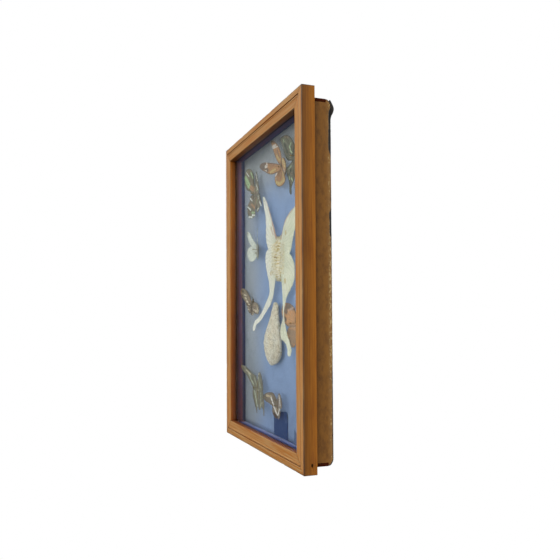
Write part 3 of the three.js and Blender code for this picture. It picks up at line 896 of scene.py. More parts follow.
PAPER_ROWS = 420
BACK_COLUMNS = 34
SIDE_COLUMNS = 9
LAP = 4.0  # how far in from a side the finer columns reach
PAPER_THICKNESS = 0.14
PAPER_STANDOFF = 0.2
BACK_FACE = 32.2
ROUND_DEPTH = 5.45
ROUND_HEIGHT = 7.65
LOW_CENTRE = 13.6
HIGH_CENTRE = 383.1
BARE_STRETCH = (96, 110, 225, 240)
# Where the fold on the right side is wider or torn away: by how much, and the heights between which
# that comes and goes.
FOLD_CHANGES = (
    (2.1, 330, 338, 376, 384), (-3.0, 294, 300, 326, 332), (1.9, 243, 247, 270, 275), (-0.9, *BARE_STRETCH),
)
LEFT_TEAR = (-2.6, 120, 128, 150, 156)
DEEPEST_TEAR = -2.2
WIDEST_FOLD = 3.4
# A loose flap of paper at the top right corner of the back.
FLAP = ((266.6, 390.6), (269.4, 390.8), (274.4, 385.6), (279.8, 377.8), (277.2, 374.6), (272.6, 372.4),
    (269.0, 367.0))
FLAP_ROOT = (268, 380)
FLAP_DEPTH = 37.35
FLAP_BEND_FROM = 270.6


def back_path(t):
    """Depth and height round the back, with the outward direction, for t from nought to one."""
    bend = math.pi / 2 * (ROUND_DEPTH + ROUND_HEIGHT) / 2
    straight = HIGH_CENTRE - LOW_CENTRE
    s = t * (2 * bend + straight)
    if s < bend:
        angle = -math.pi / 2 + s / bend * math.pi / 2
        centre = LOW_CENTRE
    elif s < bend + straight:
        return BACK_FACE + ROUND_DEPTH, LOW_CENTRE + s - bend, (1.0, 0.0)
    else:
        angle = (s - bend - straight) / bend * math.pi / 2
        centre = HIGH_CENTRE
    cos, sin = math.cos(angle), math.sin(angle)
    return BACK_FACE + ROUND_DEPTH * cos, centre + ROUND_HEIGHT * sin, (cos, sin)


def fold_width(z, side, fold):
    """How far the paper folds onto a side at a height; below nought it is torn back from the edge."""
    seed = 11 if side > 0 else 23
    width = fold * (0.75 + 0.9 * ripple(seed, z * 0.045) + 0.5 * ripple(seed + 1, z * 0.35))
    width += 0.35 * ripple(seed + 2, z * 1.3)
    for change, low, risen, falling, high in FOLD_CHANGES if side > 0 else (LEFT_TEAR,):
        width += change * ease(z, low, risen) * (1 - ease(z, falling, high))
    if side > 0:
        width = max(width, 1.3 * (1 - ease(z, 84, 96)) - 0.3)
    return max(DEEPEST_TEAR, min(WIDEST_FOLD, width))


def flap_lay(u, v):
    """Where a place of the loose flap lies: its free end bends towards the front."""
    return Vector((u, FLAP_DEPTH - 0.012 * max(0.0, u - FLAP_BEND_FROM) ** 1.6, v))


class CASE_OT_case_boards(bpy.types.Operator):
    """Finishes the case's boards and wraps the back in torn black paper"""

    bl_idname = "case.case_boards"
    bl_label = "Case and backing paper"

    def execute(self, context):
        settings = context.scene.case_boards
        paper = side_paper(settings)
        wear("case_side_left", paper)
        wear("case_side_right", paper)
        wood = end_wood(settings)
        wear("case_top", wood)
        wear("case_bottom", wood)
        board = Finish("Back board", Roughness=0.85)
        grain = board.noise(board.stretch(board.case_place(), (0.9, 1.0, 0.02)), 1.0, 4.0)
        board.feed("Base Color", board.ramp(grain, (0.3, colour("#6b4d2e")), (0.7, colour("#96713f"))))
        board.bump(grain, 0.0002)
        wear("back_board", board.material)

        left_plane = CASE_SIDE - PAPER_STANDOFF
        right_plane = WIDTH - CASE_SIDE + PAPER_STANDOFF
        flat = 2 * LAP - (right_plane - left_plane)
        front = []
        back = []
        torn = []
        columns = 0
        for row in range(PAPER_ROWS):
            y, z, (ny, nz) = back_path(row / (PAPER_ROWS - 1))
            right = fold_width(z, 1, settings.fold)
            left = fold_width(z, -1, settings.fold)
            stops = [(1, right - (right + LAP) * k / SIDE_COLUMNS) for k in range(SIDE_COLUMNS)]
            stops += [(0, -LAP + flat * k / BACK_COLUMNS) for k in range(BACK_COLUMNS + 1)]
            stops += [(-1, -LAP + (left + LAP) * (k + 1) / SIDE_COLUMNS) for k in range(SIDE_COLUMNS)]
            columns = len(stops)
            for side, a in stops:
                over = max(0.0, a) if side else 0.0
                if side >= 0:
                    x = right_plane if a > 0 else right_plane + a
                else:
                    x = left_plane if a > 0 else left_plane - a
                rim = (right if side > 0 else left) - a if side else 9.0
                lifted = 0.25 * max(0.0, ripple(31, z * 0.12, side))
                curl = lifted * (1 - ease(rim, 0.0, 1.2)) if side else 0.0
                puff = 0.06 * ripple(9, x * 0.05, z * 0.05)
                inset = over + puff + PAPER_THICKNESS
                front.append(Vector((x + side * (curl if a > 0 else 0), y - ny * inset, z - nz * inset)))
                if a > 0:
                    back.append(Vector((x - side * PAPER_THICKNESS, y - ny * inset, z - nz * inset)))
                else:
                    inset += PAPER_THICKNESS
                    back.append(Vector((x, y - ny * inset, z - nz * inset)))
                torn.append(1.0 - min(1.0, rim / 1.4))
        form = Form()
        points, faces = sheet_body(front, back, PAPER_ROWS, columns)
        form.add(points, faces, torn=torn + torn)
        add_wing(
            form, FLAP, FLAP_ROOT, flap_lay, grid=0.8, cell=30, thickness=0.2, steps=3, values={"torn": 0.25}
        )
        black = back_paper(settings)
        make_piece("torn_backing_paper", form, [black], ("backing_paper",), "black_paper", sharp=60)
        return {"FINISHED"}


# ---------------------------------------------------------------- wings


ROW_PITCH = 0.87  # rows of points in a wing lie this share of their spacing apart
FAR = 50.0  # further than any mark


def inside(point, loop):
    """True where a flat point lies inside a loop."""
    x, y = point
    hit = False
    for a, b in zip(loop, loop[1:] + loop[:1]):
        if (a[1] > y) != (b[1] > y) and x < (b[0] - a[0]) * (y - a[1]) / (b[1] - a[1]) + a[0]:
            hit = not hit
    return hit


def segment_distance(point, a, b):
    """Distance from a flat point to a segment."""
    run = b - a
    t = max(0.0, min(1.0, (point - a).dot(run) / max(1e-9, run.length_squared)))
    return (point - a - run * t).length


def mark_distance(point, marks):
    """Signed distance to the nearest mark: each is (u, v, radius) or (u0, v0, u1, v1, radius)."""
    nearest = FAR
    for mark in marks:
        a = Vector(mark[:2])
        b = Vector(mark[2:4]) if len(mark) == 5 else a
        nearest = min(nearest, segment_distance(point, a, b) - mark[-1])
    return nearest


def add_wing(form, outline, root, lay, grid, cell, thickness, marks=(), flute=0.0, steps=5, values=None):
    """Adds one wing: a thin closed sheet over a flat outline, laid in the case by lay(u, v).

    grid is the spacing of its inner points and cell the angle between two veins. Its points carry the
    distance from the margin, the vein count round the root, the spacing of the veins and the signed
    distances of its marks, all in the wing's own millimetres."""
    loop = smooth_loop(outline, steps)
    root = Vector(root)
    low_u = min(p.x for p in loop)
    high_u = max(p.x for p in loop)
    low_v = min(p.y for p in loop)
    high_v = max(p.y for p in loop)
    inner = []
    row = 0
    v = low_v
    while v < high_v:
        u = low_u + (grid / 2 if row % 2 else 0)
        while u < high_u:
            point = Vector((u, v))
            if inside(point, loop):
                rim = min(segment_distance(point, a, b) for a, b in zip(loop, loop[1:] + loop[:1]))
                if rim > grid * 0.5:
                    inner.append(point)
            u += grid
        row += 1
        v += grid * ROW_PITCH
    count = len(loop)
    edges = [(i, (i + 1) % count) for i in range(count)]
    flat, _, faces, _, _, _ = delaunay_2d_cdt(loop + inner, edges, [list(range(count))], 1, 1e-5)

    own_noise = math.atan2(high_v - root.y, 1.0)  # shifts the noise, so that no two wings are mottled alike
    front = []
    back = []
    place = []
    edge = []
    vein = []
    spacing = []
    fields = [[] for _ in marks]
    for point in flat:
        offset = point - root
        reach = offset.length
        turn = math.degrees(math.atan2(offset.y, abs(offset.x) + 1e-6)) / cell
        ridge = flute * math.cos(math.tau * turn) * ease(reach, 2, 12)
        mid = lay(point.x, point.y)
        coarse = zip(loop[::2], loop[2::2] + loop[:2:2] + loop[:1])
        rim = min(segment_distance(point, a, b) for a, b in coarse)
        half = thickness / 2
        front.append(mid + Vector((0, ridge - half, 0)))
        back.append(mid + Vector((0, ridge + half, 0)))
        place.append((point.x, point.y, own_noise))
        edge.append(rim)
        vein.append(turn)
        spacing.append(reach * math.radians(cell))
        for field, group in zip(fields, marks):
            field.append(mark_distance(point, group))
    size = len(flat)
    shared = {}
    for face in faces:
        for a, b in zip(face, list(face[1:]) + [face[0]]):
            shared[(a, b)] = shared.get((a, b), 0) + 1
    closed = [tuple(face) for face in faces] + [tuple(size + i for i in reversed(face)) for face in faces]
    for a, b in list(shared):
        if (b, a) not in shared:
            closed.append((b, a, size + a, size + b))
    held = {"place": place * 2, "edge": edge * 2, "vein": vein * 2, "spacing": spacing * 2}
    for number, field in enumerate(fields, 1):
        held[f"mark_{number}"] = field * 2
    for key, value in (values or {}).items():
        held[key] = [value] * (size * 2)
    form.add(front + back, closed, **held)


def scale_finish(name, ground, mottle, margin, margin_width, vein_colour, marks, vein_width=0.28, worn=0.3):
    """The scales of a wing: ground colour, marks, veins and a darker margin, all a little rubbed."""
    f = Finish(name, Roughness=0.72, Sheen_Weight=0.25, Sheen_Roughness=0.4)
    place = f.on_points("place", "Vector")
    cloud = f.noise(place, 0.16, 3.0)
    dust = f.noise(place, 1.7, 4.0, 0.7)
    vein = f.on_points("vein")
    spacing = f.on_points("spacing")
    wobble = (cloud - 0.5) * 0.8
    base = f.mix(f.rise(cloud, 0.35, 0.7), colour(ground), colour(mottle))
    rim = f.on_points("edge") + wobble
    base = f.mix(1 - f.rise(rim, margin_width * 0.75, margin_width * 1.25 + 0.15), base, colour(margin))
    for number, (tone, softness) in enumerate(marks, 1):
        field = f.on_points(f"mark_{number}") + wobble
        base = f.mix(1 - f.rise(field, -softness, softness), base, colour(tone))
    line = abs(f.maths("FRACT", vein + 0.5) - 0.5) * spacing
    veins = (1 - f.rise(line, vein_width * 0.5, vein_width * 1.6)) * f.rise(spacing, 0.4, 1.2)
    base = f.mix(veins * 0.7, base, colour(vein_colour))
    rubbed = f.rise(dust, 0.55, 0.75) * worn
    base = f.mix(rubbed, base, f.mix(0.5, base, colour("#b9ac93")))
    f.feed("Base Color", base)
    f.feed("Roughness", 0.62 + 0.25 * dust)
    f.bump(0.6 * dust + veins, 0.00012, 0.6)
    f.let_through(0.75)
    return f.material


def hair_finish(name, root_tone, tip_tone):
    """Body scales and hairs, mottled between a root tone and a tip tone."""
    f = Finish(name, Roughness=0.85, Sheen_Weight=0.4, Sheen_Roughness=0.5)
    place = f.case_place()
    shade = f.noise(place, 0.9, 3.0)
    f.feed("Base Color", f.mix(f.rise(shade, 0.3, 0.7), colour(root_tone), colour(tip_tone)))
    f.bump(f.noise(place, 4.0, 2.0), 0.0002, 0.6)
    return f.material


BODY = 1  # the body's finish number; the wings' is nought
TRUNK_STEPS = 5
TRUNK_SIDES = 14
LEAST = 1e-3  # keeps the ends of a trunk from closing to a point
BODY_HAIRS = 260
HAIR_LENGTH = 1.1
HAIR_WIDTH = 0.07
EYE_SIDES = 8


class Lay:
    """Where a specimen lies: its pin's place and how far it is turned, head up at nought."""

    def __init__(self, x, y, z, turn):
        self.base = Vector((x, y, z))
        self.turn = math.radians(turn)

    def __call__(self, side, fore, rise=0.0):
        """A place beside the body: to the right, towards the head, and towards the glass."""
        cos, sin = math.cos(self.turn), math.sin(self.turn)
        return self.base + Vector((side * cos - fore * sin, -rise, side * sin + fore * cos))


# A butterfly's trunk from tail to head: half width, place along it and half depth, as shares of its size.
TRUNK = ((0.0, -0.62, 0.05), (0.3, -0.6, 0.3), (0.5, -0.5, 0.6), (0.66, -0.38, 0.8), (0.78, -0.22, 0.9),
    (0.7, -0.1, 0.85), (0.62, -0.06, 0.8), (1.0, 0.04, 1.0), (1.05, 0.14, 1.05), (0.85, 0.24, 0.9),
    (0.5, 0.285, 0.55), (0.62, 0.32, 0.62), (0.55, 0.37, 0.55), (0.2, 0.4, 0.2))


def keep_inside(point, near, clear):
    """Keeps a point behind the depth near and by the distance clear in front of the sheet."""
    point.y = min(SHEET_FACE - clear, max(near, point.y))


def trunk_rings(lay, long, wide, deep):
    """The rings of a segmented abdomen, a thorax and a head."""
    rings = []
    for (r0, t0, d0), (r1, t1, d1) in zip(TRUNK, TRUNK[1:]):
        for k in range(TRUNK_STEPS):
            s = k / TRUNK_STEPS
            t = t0 + (t1 - t0) * s
            segment = 1 - 0.07 * (0.5 + 0.5 * math.cos(math.tau * t * 18)) * (1 if t < -0.1 else 0.3)
            half = (r0 + (r1 - r0) * s) * wide / 2 * segment
            thick = (d0 + (d1 - d0) * s) * deep / 2 * segment
            ring = []
            for j in range(TRUNK_SIDES):
                a = math.tau * j / TRUNK_SIDES
                ring.append(lay((half + LEAST) * math.cos(a), t * long, (thick + LEAST) * math.sin(a)))
            rings.append(ring)
    return rings


def trunk_station(t):
    """How far along the trunk's rings a place t lies, between nought and one."""
    stations = [row[1] for row in TRUNK]
    for k in range(len(stations) - 1):
        if t < stations[k + 1]:
            return (k + (t - stations[k]) / (stations[k + 1] - stations[k])) / (len(stations) - 1)
    return 0.99


def jitter(rng, size):
    """A small random step."""
    return Vector([rng.uniform(-size, size) for _ in range(3)])


def add_body(form, lay, long, wide, deep, seed):
    """Adds a body: segmented abdomen, thorax, head with eyes, hairs, feelers and folded legs."""
    rng = random.Random(seed)
    rings = trunk_rings(lay, long, wide, deep)
    form.add(*rings_body(rings), BODY)
    for _ in range(BODY_HAIRS):
        t = rng.choice((rng.uniform(-0.55, -0.05), rng.uniform(-0.06, 0.36), rng.uniform(-0.06, 0.3)))
        k = min(len(rings) - 1, max(0, int(len(rings) * trunk_station(t))))
        ring = rings[k]
        j = int(rng.uniform(0, math.tau) / math.tau * TRUNK_SIDES)
        base = ring[j % TRUNK_SIDES].lerp(ring[(j + 1) % TRUNK_SIDES], rng.random())
        centre = sum(ring, Vector()) / TRUNK_SIDES
        out = (base - centre).normalized()
        back = (lay(0, -1) - lay(0, 0)).normalized()
        heading = out * 0.45 + back * rng.uniform(0.3, 0.9) + jitter(rng, 0.25)
        tip = base + heading * (HAIR_LENGTH * rng.uniform(0.5, 1.1))
        keep_inside(tip, 11.1, 0.4)
        form.add(*hair(base - out * 0.1, tip, HAIR_WIDTH), BODY)
    for side in (-1, 1):
        path = []
        for k in range(9):
            s = k / 8
            out = side * (0.5 + 4.6 * s + 0.6 * ripple(seed, s * 3))
            path.append(lay(out, long * 0.36 + 8.2 * s - 1.2 * s * s, 0.5 + 0.7 * s))
        form.add(*tube(path, [0.1] * 6 + [0.14, 0.24, 0.16], 5), BODY)
        form.add(*eye(lay(side * wide * 0.24, long * 0.33, deep * 0.12), 0.55), BODY)
    for side in (-1, 1):
        for k in (0, 1, 2):
            start = lay(side * wide * 0.2, long * (0.02 + 0.09 * k), -deep * 0.4)
            knee = lay(side * (wide * 0.5 + 1.6), long * (0.04 + 0.12 * k), -deep * 0.45 - 0.4)
            foot = lay(side * (wide * 0.4 + 2.9), long * (-0.1 + 0.13 * k), -deep * 0.55 - 0.8)
            for p in (knee, foot):
                p.y = min(SHEET_FACE - 0.45, p.y)
            path = [start, start.lerp(knee, 0.5), knee, knee.lerp(foot, 0.5), foot]
            form.add(*tube(path, [0.16, 0.14, 0.1, 0.08, 0.06], 4), BODY)


def eye(centre, radius):
    """A small faceted eye."""
    rings = []
    for k in range(1, 6):
        a = math.pi * k / 6
        wide = radius * math.sin(a)
        ring = []
        for j in range(EYE_SIDES):
            b = math.tau * j / EYE_SIDES
            ring.append(centre + Vector((wide * math.cos(b), wide * math.sin(b), radius * math.cos(a))))
        rings.append(ring)
    return rings_body(rings)


# ---------------------------------------------------------------- butterflies

# Wings are drawn from the wing root: u outwards, v towards the head, in mm. Marks are grouped by colour
# in the order of the scales' marks. Where a right wing differs from the left one, it has its own entry.
BUTTERFLIES = {
    "swallowtail": {
        "at": (221, 19.2, 341), "turn": -2, "lift": 9, "curl": 0.9, "body": 27,
        "scales": {"ground": "#656856", "mottle": "#76745e", "margin": "#4a4f44", "margin_width": 1.3,
            "vein_colour": "#3c3d33", "marks": (("#b4c89f", 0.5), ("#86735a", 0.9), ("#3c4238", 0.9))},
        "fore": ((-0.1, 1.5), (1.5, 10.6), (6.6, 18.9), (13.6, 25), (21.7, 28), (28.6, 27.8), (33.4, 25.6),
            (30.4, 20.6), (27.1, 13.8), (22.4, 4.9), (17, -1.6), (8.8, -3.8), (0.6, -4.7)),
        "hind": ((0.2, -0.6), (8, -4.5), (14.7, -8.4), (20.6, -12.4), (17.8, -18.8), (14.4, -25.1),
            (13.2, -31.6), (12.4, -38.8), (9.6, -42.4), (8.4, -40), (8.9, -34.6), (6.8, -30.4),
            (2.6, -26.4), (0.4, -17)),
        "fore_marks": (((12.6, 13.4, 9.3, 16.4, 0.8), (12.6, 12.4, 10.5, 7.8, 1),
            (10.5, 7.8, 6.9, 4.4, 0.8), (26.6, 24.2, 24.2, 18.2, 0.6)), ((22.9, 26.4, 16.2, 23.7, 0.9),),
            ((24, 18.3, 17.2, 7.7, 1.4), (6, 1, 3, 9, 1.5))),
        "hind_marks": (((8.6, -23.6, 5.9, -27.4, 0.8), (15.3, -12.5, 9.3, -9.6, 0.5),
            (13.4, -21, 12.4, -25, 0.6)), ((10.5, -16.8, 7, -20.2, 0.8),),
            ((13.1, -18.1, 9.8, -13.7, 1.2),)),
        "hair": ("#3f3c32", "#777059"),
    },
    "jay": {
        "at": (80, 19.0, 325), "turn": 0, "lift": 9, "lift_right": 6, "curl": 0.4, "body": 26,
        "scales": {"ground": "#78785f", "mottle": "#8b7b6a", "margin": "#64685a", "margin_width": 1.2,
            "vein_colour": "#5f5e4e", "marks": (("#a9c795", 1.2), ("#e4ebe2", 0.5), ("#b58d68", 1.2))},
        "fore": ((0.3, 3), (2.4, 14), (5, 26), (10, 33), (18, 36.5), (25, 36), (29.6, 31), (30, 22),
            (28, 14), (22, 8), (14, 4.6), (8, 0), (0.4, -2)),
        "hind": ((0.4, 1.4), (8, 0), (14, -2), (17, -8), (22, -13), (23, -20), (20, -28), (14, -31.6),
            (6, -31), (1.5, -30), (0.8, -18)),
        "fore_right": ((0.3, 3), (1, 14), (3, 24), (7, 28), (11, 25), (15.6, 17), (20, 10), (24, 2),
            (21, -3), (11, -6), (0.4, -3)),
        "hind_right": ((0.4, 1.4), (16, -2), (24.6, -6), (31, -13), (38, -21), (36.4, -24.5), (29.4, -20),
            (23, -25), (16, -27), (8, -26), (0.8, -18)),
        "fore_marks": (((26.5, 25, 17, 13, 3.4), (12, 30, 6, 22, 1.2)), ((25.6, 33, 17, 26, 0.7),),
            ((12, 10, 4, 6, 3.4),)),
        "fore_marks_right": (((12, 4, 6, 2, 1.2),), ((5, 25, 15, 14, 1.2), (7, 10, 19.4, 0, 1.2)),
            ((5, 6, 3, 2, 1.6),)),
        "hind_marks": (((10, -24, 3, -25, 1.4),), ((15.5, -3.4, 9.4, -8.4, 1.1), (21.4, -15, 13, -20, 1.1),
            (18.5, -28.6, 9.5, -30.4, 1.1), (9, -27.5, 1.8, -28.8, 1.1)), ((11, -13, 1.4, -19, 1.8),)),
        "hind_marks_right": (((12, -10, 8, -16, 1.4),), ((14, -3, 19.4, -10, 1.3),
            (25, -15.4, 37, -22.6, 1.3), (10, -24.4, 19.4, -22.8, 1.1)), ((5, -8, 3, -16, 1.4),)),
        "hair": ("#5d5744", "#b7ae96"),
    },
    "white": {
        "at": (86, 19.4, 250), "turn": 0, "lift": 15, "lift_right": 17.5, "curl": 0.3, "body": 20,
        "scales": {"ground": "#e3eade", "mottle": "#d5dccd", "margin": "#c3cbbb", "margin_width": 0.6,
            "vein_colour": "#b5bdae", "marks": (("#9fa090", 0.8),), "vein_width": 0.16, "worn": 0.12},
        "fore": ((0.3, 1.7), (2.6, 7.5), (6.8, 11.6), (10.9, 15.8), (15.7, 21.7), (20.4, 25.4),
            (23.6, 25.4), (23.2, 19.7), (20.2, 13.7), (16.2, 8.2), (11.5, 4.2), (4, 0.6)),
        "hind": ((0.3, 1.4), (5.5, 4.9), (11.4, 5.9), (17.3, 5.2), (22, 2.6), (24.1, -2.4), (22.6, -8.2),
            (19.1, -12.6), (14.4, -14.7), (9.1, -14.1), (4.3, -11.4), (0.8, -6.3)),
        "fore_marks": (((23, 24.5, 21.5, 22.3, 0.9),),),
        "hind_marks": (((5.1, -3.9, 2.1, -5, 1.2),),),
        "hair": ("#8f8874", "#cbc4ab"),
    },
    "longwing": {
        "at": (60, 20.4, 178), "turn": -24, "lift": 4, "lift_right": 0, "curl": 0.9, "body": 23,
        "scales": {"ground": "#857c60", "mottle": "#94806e", "margin": "#6a5c46", "margin_width": 1.0,
            "vein_colour": "#5f533f", "marks": (("#e6dcbc", 0.45), ("#a99176", 0.9), ("#443c22", 0.9))},
        "fore": ((0.3, 1.4), (3.9, 4.4), (10.8, 8), (19.6, 11), (28.8, 11.8), (37.2, 9.4), (41.2, 4.6),
            (38.6, -0.7), (31.4, -3), (23.1, -5), (15.1, -6.4), (7.6, -6.6), (0.8, -4.2)),
        "hind": ((0.3, -0.4), (7.4, -3.4), (12.8, -4.8), (15, -7.8), (12.4, -11.4), (7.8, -13.4),
            (3.8, -13.8), (1.2, -12), (0.2, -8)),
        "fore_right": ((0.3, 1.4), (3, 4.4), (8, 7.6), (14.6, 10), (21.6, 10.4), (27.6, 8.4), (30.4, 4.2),
            (28.6, -0.7), (23.4, -3), (17, -5), (11, -6.2), (5.6, -6.2), (0.8, -4.2)),
        "hind_right": ((0.3, -0.4), (5.6, -3.4), (9.6, -4.8), (11.2, -7.4), (9.2, -10.8), (5.8, -12.6),
            (2.8, -12.8), (1.2, -11.4), (0.2, -8)),
        "fore_marks": (((28.6, 3.4, 20.6, 5.4, 0.8), (25.2, 0, 20, 0.8, 1.3),
            (18.6, -1.9, 14.3, -1.1, 1.4), (11.4, -3, 6.9, -2.6, 1), (36, 8, 33, 8.6, 0.8)),
            ((13.1, 4.7, 4.1, 2.6, 1.5),), ((43.7, 4.4, 33.1, 7, 2.3), (39.8, -0.2, 32.7, 0.2, 1.5))),
        "hind_marks": (((14, -7.2, 8, -7, 0.8), (10.4, -10.4, 5, -10, 0.9)), ((6, -12, 3, -7, 1.5),),
            ((10, -12.8, 4, -13.4, 0.5),)),
        "hair": ("#4e4535", "#90826a"),
    },
    "orange": {
        "at": (216, 21.2, 154), "turn": 2, "lift": 0, "curl": 0.0, "body": 24,
        "scales": {"ground": "#d29a64", "mottle": "#bd966c", "margin": "#8a7660", "margin_width": 0.8,
            "vein_colour": "#9a7a55", "marks": (("#857465", 1.6), ("#c9b0a0", 1.2), ("#9d8368", 1.6))},
        "fore": ((0.3, 1), (1.8, 11.1), (7.6, 18.3), (18.4, 22.7), (32.4, 24.7), (41.4, 23.5),
            (45.6, 18.7), (44.8, 11.6), (40.1, 4.4), (31.3, -1.4), (19.3, -3.9), (4.3, -3.8)),
        "hind": ((0.3, 0), (10.1, -1.7), (20.2, -3.0), (28.3, -6.6), (30.6, -14.6), (26.9, -22.2),
            (19, -26.5), (9, -26.9), (2.8, -20), (0.6, -10)),
        "fore_marks": (((42.5, 20.6, 30.7, 15.1, 3.9), (28.5, 20.6, 8.5, 18, 3.4),
            (40.9, 8.5, 33, 5.2, 2.7)), ((22.7, 15.4, 5.6, 18.3, 0.9),), ((25.3, -2.1, 7.3, -2.8, 1.2),)),
        "hind_marks": (((28.8, -21.1, 12, -25.5, 1.2), (18, -18, 6, -20, 2.8)),
            ((13.2, -4.6, 4.2, -4.9, 0.5),), ((24, -10, 5, -12, 4.2), (22, -18, 6, -19, 4.2))),
        "hair": ("#5e4933", "#a08361"),
    },
    "swordtail": {
        "at": (85, 19.4, 70), "turn": 0, "lift": 4, "curl": 1.0, "body": 25,
        "scales": {"ground": "#75755f", "mottle": "#807c62", "margin": "#626254", "margin_width": 1.1,
            "vein_colour": "#5c5c4e", "marks": (("#bcc6ac", 0.5), ("#d2cbae", 0.6), ("#5a5236", 0.9))},
        "fore": ((0.3, 4), (6.1, 14.4), (14.1, 17), (24.8, 20.6), (35, 24.4), (46, 27), (51, 26),
            (46.2, 20), (33.6, 13.4), (21.8, 5.4), (13.6, -2.4), (6.1, -5), (0.6, -6)),
        "hind": ((0.3, 0), (8, 0), (15.7, -3), (16.6, -10), (13, -18), (8.4, -25), (4.6, -31.5),
            (2.6, -33), (2.2, -28), (0.4, -20)),
        "fore_right": ((0.3, 4), (2.6, 15), (8.3, 20.6), (15.9, 20), (22.6, 14.6), (28.6, 7.4), (30, 0),
            (18.5, -4), (5.9, -5), (0.6, -5)),
        "hind_right": ((0.3, 0), (17.3, -1), (29, -3.6), (34.6, -10), (36, -19), (36.4, -30.4),
            (33.6, -32), (28, -24.6), (18.9, -22.6), (12.3, -26.4), (6, -27.6), (0.4, -20)),
        "fore_marks": (((27.8, 16, 12.6, 3, 1.1), (10, 12, 4, 3, 0.6)), ((35, 20.5, 21.6, 15.8, 0.7),),
            ((50, 25, 42, 21, 1.8), (20, 10, 14, 9, 0.8))),
        "fore_marks_right": (((4.2, 14, 16.4, 2, 1.2),), ((3, 17.6, 9, 18.6, 1.0),
            (6.4, -3.2, 2.4, -2.6, 1.1)), ((26, 10, 20, 4, 1.3), (13, 15, 9, 9, 0.6))),
        "hind_marks": (((12.4, -2, 1.6, -24, 1.1),), ((9.6, -3, 6.4, -10, 0.5),),
            ((13.6, -12, 7.6, -24.6, 0.8), (3.4, -27.6, 3, -31, 0.8))),
        "hind_marks_right": (((16.4, -1, 14.2, -24, 1.2),), ((24, -16, 21, -18, 0.9),),
            ((33, -21, 34.4, -30, 1.4), (30, -8, 25, -15, 0.9), (8, -8, 7, -22, 0.7))),
        "hair": ("#6b6348", "#b3a67f"),
    },
    "banded": {
        "at": (158, 19.5, 56), "turn": 0, "lift": 7, "curl": 0.6, "body": 20,
        "scales": {"ground": "#756b5b", "mottle": "#8d7f6b", "margin": "#665d50", "margin_width": 0.9,
            "vein_colour": "#5d5243", "marks": (("#fffdf6", 0.4), ("#c4b391", 0.9), ("#452a16", 0.9))},
        "fore": ((0.3, 2.4), (4.9, 9.4), (10.7, 13.4), (19.4, 13.6), (27.8, 12), (33.6, 9), (34.4, 5),
            (28.6, 1.6), (21, 0), (12.9, -2), (2.7, -2.3)),
        "hind": ((0.3, 1.4), (8.7, 0.4), (13.2, -3.6), (13.8, -8.6), (11, -13), (6.4, -15.6), (2.6, -16.2),
            (0.6, -13.6), (0.2, -8)),
        "fore_right": ((0.3, 3), (3, 10), (7.4, 14.4), (13.4, 15), (19.4, 11.4), (24.4, 6), (25, 1.6),
            (20, -1.6), (12.9, -2.4), (2.7, -2.3)),
        "fore_marks": (((16.2, 8.4, 9.6, -1.4, 1.2),), ((28, 8.6, 17, 8.8, 1.3),),
            ((6.2, 5.6, 3.1, 4.9, 0.8),)),
        "fore_marks_right": (((8.8, 11.6, 15.2, 1.4, 1.2),), ((13, 11, 17, 7, 0.8),),
            ((5.2, 8, 3, 3, 0.9),)),
        "hind_marks": (((10.2, -1.8, 1.2, -11.6, 1.3),), ((5, -3, 2.6, -6, 0.9),),
            ((8.6, -11.6, 2, -14.4, 2.2),)),
        "hind_marks_right": (((14.6, 0.2, 1.4, -11.6, 1.3),), ((6, -2, 3, -6, 0.9),),
            ((3, -13, 1.4, -14.4, 1.2),)),
        "hair": ("#57462f", "#a3927a"),
    },
}


VEIN_ANGLE = 13  # degrees between two veins
LAYERS = (("hind", 0.3), ("fore", 0.62))  # each pair of wings and how far it lies before the pin's place


def mount_butterfly(name, form, plan):
    """Makes a butterfly's piece from its form, with its scales and hair."""
    finishes = [scale_finish(f"{name} scales", **plan["scales"]), hair_finish(f"{name} body", *plan["hair"])]
    make_piece("mounted_" + name, form, finishes, ("butterfly_" + name,), name + "_scales", sharp=50)


def butterfly(name, plan, settings):
    """Builds one butterfly about its pin."""
    lay = Lay(*plan["at"], plan["turn"])
    form = Form()
    for half in (-1, 1):
        slope = math.radians(plan["lift"] if half < 0 else plan.get("lift_right", plan["lift"]))
        bend = plan["curl"] if slope else 0.0
        for pair, layer in LAYERS:

            def wing_lay(u, v, half=half, layer=layer, slope=slope, bend=bend):
                curl = bend * (max(0.0, u) / 30) ** 2 + 0.25 * ripple(len(name), u * 0.12, v * 0.12, half)
                return lay(half * u * math.cos(slope), v, u * math.sin(slope) + curl + layer)

            hand = "_right" if half > 0 else ""
            outline = plan.get(pair + hand, plan[pair])
            marks = plan.get(pair + "_marks" + hand, plan[pair + "_marks"])
            add_wing(
                form, outline, (0, 0), wing_lay, settings.grid, VEIN_ANGLE, settings.wing_thickness,
                marks=marks, flute=0.12,
            )
    long = plan["body"]
    add_body(form, lay, long, wide=long * 0.19, deep=long * 0.17, seed=len(name) * 7)
    mount_butterfly(name, form, plan)


